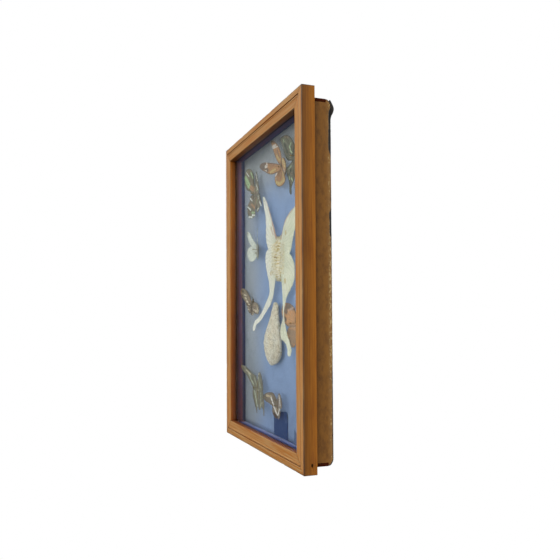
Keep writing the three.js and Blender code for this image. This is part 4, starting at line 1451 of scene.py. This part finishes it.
# This one's four wings are drawn in the case's own x and z, because they are set unevenly. dip is a
# place in the wing and the depth that it droops or lifts to.
TIGER = {
    "at": (182, 18.4, 337), "turn": 40, "vein_angle": 14,
    "scales": {"ground": "#b98a58", "mottle": "#a9805c", "margin": "#7d6650", "margin_width": 0.9,
        "vein_colour": "#80664a", "marks": (("#766556", 1.2), ("#dcd6ca", 0.5), ("#c8b276", 1.0))},
    "wings": (
        {"outline": ((181, 340), (172, 342.5), (160, 346.5), (147, 350), (132, 354), (120, 356.5),
            (110, 357.5), (104, 355.5), (110, 350), (122, 345), (134, 339.6), (146, 336), (160, 334.5),
            (178, 335)),
         "root": (181, 338), "depth": 17.4, "dip": (110, 354, 16.6),
         "marks": (((106, 354, 122, 352, 4.6), (126, 346, 134, 344, 2.6), (134, 353, 160, 346, 1.0)),
             ((125, 350.4, 131, 350, 2.2), (130, 353.4, 133, 354, 1.2), (124, 345.6, 131, 343.6, 0.6)),
             ((142, 339, 160, 339, 1.6),))},
        {"outline": ((181, 338), (172, 339), (163, 337.5), (156.5, 333), (155, 327.5), (159, 321.5),
            (167, 317), (177, 315.4), (186, 316.6), (190.5, 320), (189, 327), (185, 334)),
         "root": (181, 336), "depth": 17.8, "dip": (168, 317, 18.2),
         "marks": (((177, 326, 0.7), (172, 329, 0.7), (181, 329, 0.7), (166, 331, 172, 333, 0.8)),
             ((157.5, 332, 164, 334, 1.3), (160, 328, 0.9)), ((160, 323.6, 172, 319, 2.0),
             (172, 319, 187, 321, 1.9), (184, 322, 184, 330, 1.6)))},
        {"outline": ((180, 341), (181, 349), (177, 358), (171, 365), (163, 371), (154, 375.5),
            (148, 376.5), (149, 372), (153, 366), (158, 358), (165, 350), (173, 343)),
         "root": (180, 340), "depth": 17.2, "dip": (152, 374, 16.6),
         "marks": (((148, 377, 158, 374, 2.2), (168, 360, 174, 350, 1.2)), ((153.5, 368, 162, 367, 2.5),
             (164, 365.5, 170, 364.5, 0.8)), ((166, 354, 176, 346, 1.6),))},
        {"outline": ((181, 342), (186, 347), (192, 345), (197, 338.5), (198.5, 331), (196.5, 326.5),
            (192, 328), (187, 333), (182, 338)),
         "root": (181.5, 340), "depth": 17.2, "dip": (197, 329, 16.0),
         "marks": (((198, 330, 196, 327, 1.3),), ((193, 329, 190, 333, 0.8),),
             ((184, 345, 195, 335, 2.6),))},
    ),
    "hair": ("#4b3a2a", "#8a7052"),
}


def drooped(depth, dip, root):
    """A lay for an uneven wing: flat by the root, bending to its own depth at the dip's place."""
    foot = Vector(root)
    reach = (Vector(dip[:2]) - foot).length

    def lay(u, v):
        out = min(1.4, (Vector((u, v)) - foot).length / reach)
        wave = 0.12 * ripple(2, u * 0.1, v * 0.1)
        return Vector((u, depth + (dip[2] - depth) * out ** 1.3 + wave, v))

    return lay


def tiger_butterfly(settings):
    """Builds the orange butterfly whose wings are set unevenly."""
    form = Form()
    for wing in TIGER["wings"]:
        add_wing(
            form, wing["outline"], wing["root"], drooped(wing["depth"], wing["dip"], wing["root"]),
            settings.grid, TIGER["vein_angle"], settings.wing_thickness, marks=wing["marks"], flute=0.1,
        )
    add_body(form, Lay(*TIGER["at"], TIGER["turn"]), long=22, wide=4.2, deep=3.8, seed=77)
    mount_butterfly("tiger", form, TIGER)


class CASE_OT_butterflies(bpy.types.Operator):
    """Builds the eight mounted butterflies"""

    bl_idname = "case.butterflies"
    bl_label = "Butterflies"

    def execute(self, context):
        settings = context.scene.case_specimens
        for name, plan in BUTTERFLIES.items():
            butterfly(name, plan, settings)
        tiger_butterfly(settings)
        return {"FINISHED"}


# ---------------------------------------------------------------- moon moth

# The moth's wings and marks are drawn in the case's own x and z.
MOTH = {
    "at": (168, 19.0, 232), "turn": -3, "wing_depth": 17.2, "wing_thickness": 0.32, "vein_angle": 8.5,
    "wings": (
        {"outline": ((166, 249.2), (163, 256.2), (155.8, 267.1), (148.2, 278.1), (141.5, 286.2),
            (133.5, 296.3), (124.4, 306.5), (116.7, 313.6), (110.4, 314.7), (110.4, 309.7), (115.6, 299.7),
            (119.9, 286.7), (121.6, 273.7), (121.6, 261.7), (124.4, 252.7), (131.2, 245.6), (147.1, 241.4),
            (164, 239.3)),
         "root": (165, 246)},
        {"outline": ((164, 245.3), (144.9, 247.4), (128.9, 245.6), (121, 240.8), (118.8, 232.8),
            (122.1, 222.8), (128.9, 211.8), (134.6, 200.8), (133.5, 191.8), (126.6, 183.9), (115.6, 176),
            (101.4, 167), (87.4, 160), (77.4, 157.6), (70.4, 153), (66.4, 147), (69.4, 143.5), (76.4, 146),
            (80.4, 151.5), (89.4, 154), (102.4, 158.5), (116.7, 166.5), (132.3, 173.4), (144.9, 181.8),
            (153.7, 193.7), (158.9, 206.6), (163, 219.5)),
         "root": (162, 240)},
        {"outline": ((172, 249.2), (177.9, 253.2), (179.8, 258.2), (185.4, 266.2), (194.5, 275.3),
            (203.4, 280.4), (214.1, 283.6), (227.4, 286.3), (237.4, 286.8), (241.4, 284.3), (237.4, 277.8),
            (227.4, 269.8), (217.8, 261.7), (211.4, 249.7), (206, 237.7), (199.8, 231.6), (174, 235.4)),
         "root": (173, 246)},
        {"outline": ((174, 243.3), (189.1, 239.4), (201.6, 233.6), (209.6, 227.7), (215, 218.8),
            (215.9, 209.9), (212.3, 199.9), (204.2, 191.8), (195.4, 184.8), (190.9, 178.8), (187.3, 171.9),
            (185.9, 163.9), (187.7, 156), (191.8, 147.1), (196.3, 138.1), (201.6, 131.6), (205.6, 125.1),
            (204.6, 118.4), (199.8, 115.9), (195.5, 118.2), (195.4, 123.2), (191.8, 129.2), (184.5, 132.2),
            (176.9, 136.7), (174.5, 142.1), (175.9, 151), (180.8, 158), (182.6, 165.9), (182.2, 174.9),
            (180.8, 185.8), (177.9, 203.6), (175, 221.5)),
         "root": (175, 240)},
    ),
    "costa": ((161, 256.2, 154.4, 266.1, 1.9), (154.4, 266.1, 146.8, 277.1, 1.7),
        (146.8, 277.1, 133.5, 296.3, 0.9), (133.5, 296.3, 116.7, 313.6, 0.4),
        (177.9, 253.2, 185.4, 266.2, 1.2), (185.4, 266.2, 194.5, 275.3, 1.0),
        (194.5, 275.3, 214.1, 283.6, 0.8), (214.1, 283.6, 240, 286.8, 0.5),
        (143.6, 269.3, 151.4, 261.2, 0.8)),
    "rings": ((142.6, 270.3, 2.4), (192.7, 258.3, 3.0), (141.5, 214.6, 3.4), (189.1, 202.7, 3.6)),
    "cores": ((142.6, 270.3, 1.1), (192.7, 258.3, 1.4), (141.5, 214.6, 1.9), (189.1, 202.7, 2.0)),
}


FUR_RING = 5.6  # spacing of the tufted rings along the body
FUR_SIDES = 28
FUR_STEPS = 5
FUR_HAIRS = 9500
SPREAD_HAIRS = 3600
FUR_WIDTH = 0.1
FEELER_ROWS = 11
# The moth's body from tail to head: place along it, half width and half depth.
FUR_PROFILE = ((-27.5, 0.6, 0.6), (-26, 3.6, 2.2), (-21, 6.0, 3.6), (-14, 7.4, 4.2), (-6, 7.8, 4.5),
    (1, 7.4, 4.3), (4, 7.2, 4.2), (8, 8.4, 4.6), (14, 8.8, 4.7), (18, 7.2, 4.2), (20.5, 4.6, 3.4),
    (22.6, 3.2, 2.6), (24.4, 1.6, 1.4), (25, 0.4, 0.4))


def moth_lay(u, v):
    """Where a place of the moth's wings lies: they droop outwards and wave a little."""
    out = abs(u - MOTH["at"][0])
    wave = 0.4 * ripple(8, u * 0.06, v * 0.06) + 0.36 * ripple(9, u * 0.18, v * 0.18)
    return Vector((u, MOTH["wing_depth"] + 1.7 * ease(out, 6, 60) + wave, v))


def moth_scales():
    """Pale green scales with a left half painted paler as painted light, fine veins, ringed eye spots and a
    pink front margin.
    """
    f = Finish("Moon moth scales", Roughness=0.78, Sheen_Weight=0.3, Sheen_Roughness=0.4)
    place = f.on_points("place", "Vector")
    cloud = f.noise(place, 0.07, 4.0)
    dust = f.noise(place, 1.1, 4.0, 0.7)
    base = f.mix(f.rise(cloud, 0.3, 0.7), colour("#eceed6"), colour("#dde2c6"))
    across, _, _ = f.parts(place)
    # Painted light: the wings' left half is painted paler, where the light falls more strongly on it.
    base = f.mix((1 - f.rise(across, 120, 175)) * 0.75, base, colour("#fdfdf0"))
    spacing = f.on_points("spacing")
    line = abs(f.maths("FRACT", f.on_points("vein") + 0.5) - 0.5) * spacing
    veins = (1 - f.rise(line, 0.15, 0.7)) * f.rise(spacing, 0.6, 2.0)
    base = f.mix(veins * 0.5, base, colour("#bcbf9c"))
    base = f.mix((1 - f.rise(f.on_points("mark_2"), -0.6, 0.4)) * 0.6, base, colour("#bda36a"))
    base = f.mix((1 - f.rise(f.on_points("mark_3"), -0.5, 0.4)) * 0.8, base, colour("#dccd92"))
    base = f.mix((1 - f.rise(f.on_points("mark_1"), -0.6, 0.6)) * 0.8, base, colour("#c08a78"))
    base = f.mix(f.rise(dust, 0.55, 0.75) * 0.18, base, colour("#b5ad8b"))
    base = f.mix((1 - f.rise(f.on_points("edge"), 0.2, 0.9)) * 0.25, base, colour("#b7b08a"))
    f.feed("Base Color", base)
    f.bump(dust * 0.5 + veins, 0.0002, 0.7)
    f.let_through(0.75)
    return f.material


def moth_fur():
    """Cream and straw-coloured fur."""
    fur = Finish("Moth fur", Roughness=0.9, Sheen_Weight=0.4, Sheen_Roughness=0.5)
    shade = fur.noise(fur.stretch(fur.case_place(), (0.22, 0.6, 1.0)), 0.62, 3.0)
    stops = (0.36, colour("#cdb573")), (0.46, colour("#fbeebb")), (0.6, colour("#fffbe8"))
    fur.feed("Base Color", fur.ramp(shade, *stops))
    fur.let_through(0.9)
    return fur.material


class CASE_OT_moon_moth(bpy.types.Operator):
    """Builds the moon moth: four long-tailed wings and a thick furry body"""

    bl_idname = "case.moon_moth"
    bl_label = "Moon moth"

    def execute(self, context):
        settings = context.scene.case_specimens
        form = Form()
        for wing in MOTH["wings"]:
            add_wing(
                form, wing["outline"], wing["root"], moth_lay, settings.moth_grid, MOTH["vein_angle"],
                MOTH["wing_thickness"], marks=(MOTH["costa"], MOTH["rings"], MOTH["cores"]), flute=0.2,
                steps=4,
            )
        add_fur_body(form, Lay(*MOTH["at"], MOTH["turn"]))
        finishes = [moth_scales(), moth_fur()]
        make_piece("mounted_moon_moth", form, finishes, ("moon_moth",), "moth_scales", sharp=50)
        return {"FINISHED"}


def fur_rings(lay):
    """The rings of the moth's body and the place of each along it."""
    rings = []
    stations = []
    for (t0, a0, b0), (t1, a1, b1) in zip(FUR_PROFILE, FUR_PROFILE[1:]):
        for k in range(FUR_STEPS):
            s = k / FUR_STEPS
            t = t0 + (t1 - t0) * s
            band = 1 - 0.12 * (0.5 + 0.5 * math.cos(math.tau * t / FUR_RING)) * (1 if t < 4 else 0.4)
            ring = []
            for j in range(FUR_SIDES):
                a = math.tau * j / FUR_SIDES
                rough = band * (1 + 0.05 * ripple(12, math.cos(a) * 3, math.sin(a) * 3, t * 0.5))
                wide = (a0 + (a1 - a0) * s) * rough
                deep = (b0 + (b1 - b0) * s) * rough
                ring.append(lay(wide * math.cos(a), t, deep * math.sin(a)))
            rings.append(ring)
            stations.append(t)
    return rings, stations


def add_fur_body(form, lay):
    """The moth's thick body in tufted rings of fur that spreads over the wings, with feathered feelers."""
    rng = random.Random(41)
    rings, stations = fur_rings(lay)
    form.add(*rings_body(rings), BODY)
    back = (lay(0, -1) - lay(0, 0)).normalized()
    for _ in range(FUR_HAIRS):
        k = rng.randrange(1, len(rings) - 1)
        j = rng.randrange(FUR_SIDES)
        base = rings[k][j].lerp(rings[k][(j + 1) % FUR_SIDES], rng.random())
        centre = sum(rings[k], Vector()) / FUR_SIDES
        out = (base - centre).normalized()
        tuft = 0.5 + 0.5 * math.cos(math.tau * stations[k] / FUR_RING)
        sway = jitter(rng, 0.35)
        long = rng.uniform(1.2, 2.6) + 1.6 * tuft * rng.random()
        tip = base + (out * (0.55 + 0.5 * tuft) + back * rng.uniform(0.2, 0.8) + sway).normalized() * long
        keep_inside(tip, 12.6, 0.35)
        form.add(*hair(base - out * 0.3, tip, FUR_WIDTH), BODY)
    for _ in range(SPREAD_HAIRS):
        side = rng.choice((-1, 1))
        reach = 6 + 15 * rng.random() ** 1.7
        t = rng.uniform(-19, 17)
        base = lay(side * reach, t)
        base.y = 16.9 - rng.uniform(0.1, 0.7) * (1 - reach / 24)
        droop = -0.5 - 0.5 * rng.random() + (0.5 if t > 8 else 0)
        heading = lay(side * 1.0, droop) - lay(0, 0)
        sway = Vector((rng.uniform(-0.3, 0.3), rng.uniform(-0.35, 0.05), rng.uniform(-0.3, 0.3)))
        tip = base + (heading.normalized() + sway).normalized() * rng.uniform(1.6, 4.2)
        form.add(*hair(base, tip, FUR_WIDTH), BODY)
    for side in (-1, 1):
        add_feathered_feeler(form, lay, side)


def add_feathered_feeler(form, lay, side):
    """A feeler with fine branches on both sides."""
    path = []
    for k in range(FEELER_ROWS):
        s = k / (FEELER_ROWS - 1)
        path.append(lay(side * (1.6 + 8.5 * s), 22.5 + 5.5 * s - 3.5 * s * s, 1.2 + 0.6 * s))
    form.add(*tube(path, [0.22 - 0.012 * k for k in range(FEELER_ROWS)], 5), BODY)
    for k in range(1, FEELER_ROWS):
        for way in (-1, 1):
            for part in (0.0, 0.5):
                start = path[k - 1].lerp(path[k], part)
                along = (path[k] - path[k - 1]).normalized()
                off = Vector((-along.z, 0, along.x)) * way
                reach = 2.6 * math.sin(math.pi * min(1, (k + part) / FEELER_ROWS)) + 0.4
                form.add(*hair(start, start + (off + along * 0.5) * reach, HAIR_WIDTH), BODY)


# ---------------------------------------------------------------- cocoon

COCOON = {"at": (147, 18.4, 138), "lean": -13, "deep": 5.2}
# The cocoon's outline: place along it and half width there.
COCOON_HALF = ((-36.5, 1.4), (-35, 5.5), (-32, 12), (-27, 20.2), (-21, 26.2), (-14, 28), (-6, 26.7),
    (2, 23.5), (10, 18.9), (18, 14.7), (26, 10.9), (33, 7.9), (38, 6.8), (40.6, 5.7), (41.6, 2.3))
COCOON_FOOT = COCOON_HALF[0][0]
COCOON_TALL = COCOON_HALF[-1][0] - COCOON_FOOT
COCOON_WIDEST = 28
COCOON_ROWS = 190
COCOON_COLUMNS = 150
STRANDS = 420
STRAND_STEPS = 9
STRAND_STEP = 1.5
STRAND_RADIUS = 0.1


def cocoon_half_width(t):
    """Half width of the cocoon at a place along it."""
    for (t0, r0), (t1, r1) in zip(COCOON_HALF, COCOON_HALF[1:]):
        if t <= t1:
            s = max(0.0, (t - t0) / (t1 - t0))
            return r0 + (r1 - r0) * (s * s * (3 - 2 * s) * 0.4 + s * 0.6)
    return COCOON_HALF[-1][1]


def cocoon_rise(half, a, push):
    """How far the cocoon's skin stands before or behind its middle, pushed out by a crumple."""
    swell = COCOON["deep"] * (half / COCOON_WIDEST) ** 0.6
    out = swell * math.copysign(abs(math.sin(a)) ** 0.85, math.sin(a))
    return out + math.copysign(1, math.sin(a)) * push * abs(math.sin(a)) ** 0.5


def cocoon_skin(lay):
    """The rings of the cocoon's crumpled skin and the depth of its pits at each point."""
    rings = []
    pits = []
    for i in range(COCOON_ROWS):
        t = COCOON_FOOT + COCOON_TALL * i / (COCOON_ROWS - 1)
        half = cocoon_half_width(t)
        ring = []
        for j in range(COCOON_COLUMNS):
            a = math.tau * j / COCOON_COLUMNS
            side = half * math.cos(a)
            spot = Vector((side * 0.26, t * 0.34, math.sin(a) * 2))
            cell = noise.voronoi(spot)[0][0]
            pit = ease(0.36 - cell, 0.0, 0.34)
            crumple = 0.9 * ripple(5, side * 0.08, t * 0.1, math.sin(a))
            crumple += 0.8 * ripple(6, side * 0.2, t * 0.26, math.sin(a))
            crumple += 0.35 * ripple(8, side * 0.5, t * 0.6, math.sin(a))
            push = (crumple - 1.1 * pit) * min(1.0, half / 12)
            grow = 1 + 0.03 * ripple(7, math.cos(a) * 4, t * 0.16)
            grow += 0.012 * ripple(7, math.cos(a) * 4, t * 0.6)
            ring.append(lay(side * grow, t, cocoon_rise(half, a, push)))
            pits.append(pit)
        rings.append(ring)
    return rings, pits


def add_strands(form, lay):
    """Adds loose silk strands that wander over the cocoon's skin."""
    rng = random.Random(19)
    for _ in range(STRANDS):
        t = rng.uniform(-33, 38)
        a = rng.uniform(0, math.tau)
        heading = rng.uniform(0, math.tau)
        path = []
        for _ in range(STRAND_STEPS):
            t += STRAND_STEP * math.sin(heading)
            half = cocoon_half_width(t)
            a += STRAND_STEP * math.cos(heading) / max(4.0, half)
            heading += rng.uniform(-0.5, 0.5)
            if not -35 < t < 40.5:
                break
            push = 0.12 + 0.8 * ripple(5, half * math.cos(a) * 0.08, t * 0.1, math.sin(a))
            place = lay(half * math.cos(a) * 1.004, t, cocoon_rise(half, a, push))
            keep_inside(place, 11.2, 0.3)
            path.append(place)
        if len(path) > 3:
            form.add(*tube(path, STRAND_RADIUS, 4))


def cocoon_silk():
    """Cream silk with darker pits as painted shade, strands and dirty specks, and painted shade on its
    right.
    """
    f = Finish("Cocoon silk", Roughness=0.8, Sheen_Weight=0.35, Sheen_Roughness=0.35)
    place = f.case_place()
    cloud = f.noise(place, 0.07, 4.0)
    fine = f.noise(place, 1.3, 5.0, 0.72)
    base = f.ramp(cloud, (0.3, colour("#fdf1d2")), (0.55, colour("#fffae4")), (0.75, colour("#fffff4")))
    speck = f.rise(f.noise(place, 0.45, 4.0, 0.75), 0.55, 0.63)
    base = f.mix(speck * 0.4, base, colour("#857654"))
    strands = f.noise(f.stretch(place, (0.35, 1.0, 0.8)), 0.32, 4.0, 0.7, 0.8)
    base = f.mix(f.rise(strands, 0.54, 0.62) * 0.36, base, colour("#a0956e"))
    base = f.mix((1 - f.rise(strands, 0.36, 0.46)) * 0.7, base, colour("#fffcea"))
    x, _, z = f.parts(place)
    shaded = f.rise(x - 0.16 * (z - COCOON["at"][2]), 150, 176)
    base = f.mix(shaded * 0.2, base, colour("#6d6a54"))
    lumps = f.noise(place, 0.34, 3.0, 0.6)
    base = f.mix((1 - f.rise(lumps, 0.36, 0.48)) * 0.4, base, colour("#b09c70"))
    # Painted shade: the pits are darkened by how deep they are.
    base = f.mix(f.rise(f.on_points("pit"), 0.1, 0.7) * 0.75, base, colour("#776c52"))
    base = f.mix(f.rise(fine, 0.5, 0.75) * 0.15, base, colour("#b5a987"))
    f.feed("Base Color", base)
    f.bump(fine * 0.3 + lumps + strands, 0.0016, 1.0)
    f.let_through(0.5)
    return f.material


class CASE_OT_cocoon(bpy.types.Operator):
    """Builds the large silk cocoon with its pierced, stringy skin"""

    bl_idname = "case.cocoon"
    bl_label = "Cocoon"

    def execute(self, context):
        lay = Lay(*COCOON["at"], COCOON["lean"])
        rings, pits = cocoon_skin(lay)
        form = Form()
        points, faces = rings_body(rings)
        form.add(points, faces, pit=pits)
        add_strands(form, lay)
        make_piece("silk_cocoon", form, [cocoon_silk()], ("cocoon",), "cocoon_silk", sharp=70)
        return {"FINISHED"}


# ---------------------------------------------------------------- pins


# A pin from its point to its head: depth in the case and radius.
PIN = ((PIN_END, 0.02), (PIN_END - 1.2, 0.2), (PIN_TOP + 1.5, 0.2), (PIN_TOP + 1.35, 0.42),
    (PIN_TOP + 1.1, 0.68), (PIN_TOP + 0.75, 0.8), (PIN_TOP + 0.4, 0.7), (PIN_TOP + 0.15, 0.42),
    (PIN_TOP + 0.05, 0.1))
PIN_SIDES = 14


class CASE_OT_pins(bpy.types.Operator):
    """Turns the fine brass pins"""

    bl_idname = "case.pins"
    bl_label = "Pins"

    def execute(self, context):
        brass = Finish("Tarnished brass", Metallic=1.0)
        spots = brass.noise(brass.case_place(), 1.6, 4.0)
        light = context.scene.case_specimens.brass
        brass.feed("Base Color", brass.ramp(spots, (0.35, colour("#5d4a2a")), (0.6, light)))
        brass.feed("Roughness", 0.3 + 0.25 * spots)
        places = {name: plan["at"] for name, plan in BUTTERFLIES.items()}
        places["tiger"] = TIGER["at"]
        places["moon_moth"] = MOTH["at"]
        turns = [math.tau * k / PIN_SIDES for k in range(PIN_SIDES)]
        for name, (x, _, z) in places.items():
            rings = [[Vector((x + r * math.cos(a), y, z + r * math.sin(a))) for a in turns] for y, r in PIN]
            form = Form()
            form.add(*rings_body(rings))
            make_piece("brass_pin_" + name, form, [brass.material], ("pin_" + name,), "pin_brass", sharp=60)
        return {"FINISHED"}


# ---------------------------------------------------------------- stage

# The camera's place is in the case's millimetres, its angles are in degrees and the rest in pixels.
CAMERA = {
    "place": (886.7, -254.0, 156.2), "yaw": 69.28, "pitch": 2.06, "roll": -0.32,
    "focal": 647.8, "centre_y": 297.37,
}
PICTURE = 560
SENSOR = 36
WHITE = (1.0, 1.0, 1.0, 1.0)
SKY_FROM = (0.27, -0.77, 0.57)
LAMP_PLACE = (0.25, -1.25, 0.9)
LAMP_SIZE = 0.9
FLOOR_RADIUS = 0.45
FLOOR_MIDDLE = -0.02
FLOOR_RINGS = 12
FLOOR_SPOKES = 64


def floor_disc(height):
    """Points and faces of a round floor in rings."""
    middle = Vector((0, FLOOR_MIDDLE, height))
    points = [middle]
    for i in range(1, FLOOR_RINGS + 1):
        radius = FLOOR_RADIUS * i / FLOOR_RINGS
        for k in range(FLOOR_SPOKES):
            a = math.tau * k / FLOOR_SPOKES
            points.append(middle + Vector((radius * math.cos(a), radius * math.sin(a), 0)))
    faces = [(0, 1 + k, 1 + (k + 1) % FLOOR_SPOKES) for k in range(FLOOR_SPOKES)]
    for i in range(FLOOR_RINGS - 1):
        for k in range(FLOOR_SPOKES):
            a = 1 + i * FLOOR_SPOKES
            j = (k + 1) % FLOOR_SPOKES
            faces.append((a + k, a + FLOOR_SPOKES + k, a + FLOOR_SPOKES + j, a + j))
    return points, faces


class CASE_OT_stage(bpy.types.Operator):
    """Sets the camera, the soft studio light, the pale floor and the plain pale surround"""

    bl_idname = "case.stage"
    bl_label = "Stage"

    def execute(self, context):
        settings = context.scene.case_stage
        scene = context.scene
        yaw, pitch, roll = (math.radians(CAMERA[key]) for key in ("yaw", "pitch", "roll"))
        ahead = Vector((-math.sin(yaw) * math.cos(pitch), math.cos(yaw) * math.cos(pitch), math.sin(pitch)))
        level = Vector((math.cos(yaw), math.sin(yaw), 0))
        upright = level.cross(ahead)
        right = level * math.cos(roll) + upright * math.sin(roll)
        up = upright * math.cos(roll) - level * math.sin(roll)
        camera = bpy.data.objects.new("camera", bpy.data.cameras.new("camera"))
        scene.collection.objects.link(camera)
        aim = Matrix((right, up, -ahead)).transposed().to_4x4()
        camera.matrix_world = Matrix.Translation(metres(*CAMERA["place"])) @ aim
        camera.data.sensor_width = SENSOR
        camera.data.lens = CAMERA["focal"] * SENSOR / PICTURE
        camera.data.shift_y = (CAMERA["centre_y"] - (PICTURE - 1) / 2) / PICTURE
        camera.data.clip_start = 0.01
        scene.camera = camera

        world = bpy.data.worlds.new("studio")
        world.use_nodes = True
        scene.world = world
        n = Nodes(world.node_tree)
        background = world.node_tree.nodes["Background"]
        ray = n.node("TexCoord", output="Generated")
        towards = n.vector("DOT_PRODUCT", ray, tuple(Vector(SKY_FROM).normalized()), output=1)
        _, backwards, upwards = n.parts(ray)
        around = n.rise(backwards, -0.05, 0.6) * settings.backdrop + settings.fill
        glow = n.rise(towards, 0.18, 0.95) * settings.sky + around * (0.8 + 0.2 * upwards)
        shown = n.node("LightPath", output="Is Camera Ray")
        strength = shown + (1 - shown) * glow
        world.node_tree.links.new(strength.socket, background.inputs["Strength"])
        background.inputs["Color"].default_value = WHITE

        lamp_data = bpy.data.lights.new("soft_lamp", "AREA")
        lamp_data.shape = "DISK"
        lamp_data.size = LAMP_SIZE
        lamp_data.energy = settings.lamp
        lamp = bpy.data.objects.new("soft_lamp", lamp_data)
        scene.collection.objects.link(lamp)
        lamp.location = LAMP_PLACE
        lamp.rotation_euler = (-lamp.location).to_track_quat("-Z", "Y").to_euler()

        points, faces = floor_disc(CAD_BOX[0].z - settings.floor_drop)
        mesh = bpy.data.meshes.new("floor")
        mesh.from_pydata(points, [], faces)
        floor = bpy.data.objects.new("floor", mesh)
        scene.collection.objects.link(floor)
        pale = Finish("Pale floor", Roughness=0.9)
        cloud = pale.noise(pale.node("TexCoord", output="Object"), 3.0)
        pale.feed("Base Color", pale.ramp(cloud, (0.0, colour("#f4f3f0")), (1.0, colour("#faf9f7"))))
        mesh.materials.append(pale.material)

        scene.view_settings.view_transform = "Standard"
        scene.view_settings.look = "None"
        return {"FINISHED"}


# ---------------------------------------------------------------- panel and registration

STEPS = (
    CASE_OT_stage,
    CASE_OT_front_frame,
    CASE_OT_glazing,
    CASE_OT_pinning_ground,
    CASE_OT_case_boards,
    CASE_OT_butterflies,
    CASE_OT_moon_moth,
    CASE_OT_cocoon,
    CASE_OT_pins,
)
SETTINGS = {
    "case_frame": FrameSettings,
    "case_glazing": GlazingSettings,
    "case_ground": GroundSettings,
    "case_boards": CaseSettings,
    "case_specimens": SpecimenSettings,
    "case_stage": StageSettings,
}


class CASE_PT_sidebar(bpy.types.Panel):
    """Lists the steps of the case in the sidebar"""

    bl_label = "Butterfly case"
    bl_idname = "CASE_PT_sidebar"
    bl_space_type = "VIEW_3D"
    bl_region_type = "UI"
    bl_category = "Butterfly case"

    def draw(self, context):
        for step in STEPS:
            self.layout.operator(step.bl_idname)
        for key in SETTINGS:
            box = self.layout.box()
            group = getattr(context.scene, key)
            for prop in group.__annotations__:
                box.prop(group, prop)


def register():
    for group in SETTINGS.values():
        bpy.utils.register_class(group)
    for key, group in SETTINGS.items():
        setattr(bpy.types.Scene, key, bpy.props.PointerProperty(type=group))
    for step in STEPS + (CASE_PT_sidebar,):
        bpy.utils.register_class(step)


def unregister():
    for step in reversed(STEPS + (CASE_PT_sidebar,)):
        bpy.utils.unregister_class(step)
    for key in SETTINGS:
        delattr(bpy.types.Scene, key)
    for group in SETTINGS.values():
        bpy.utils.unregister_class(group)


def main():
    register()
    for step in STEPS:
        family, verb = step.bl_idname.split(".")
        getattr(getattr(bpy.ops, family), verb)()


if __name__ == "__main__":
    main()
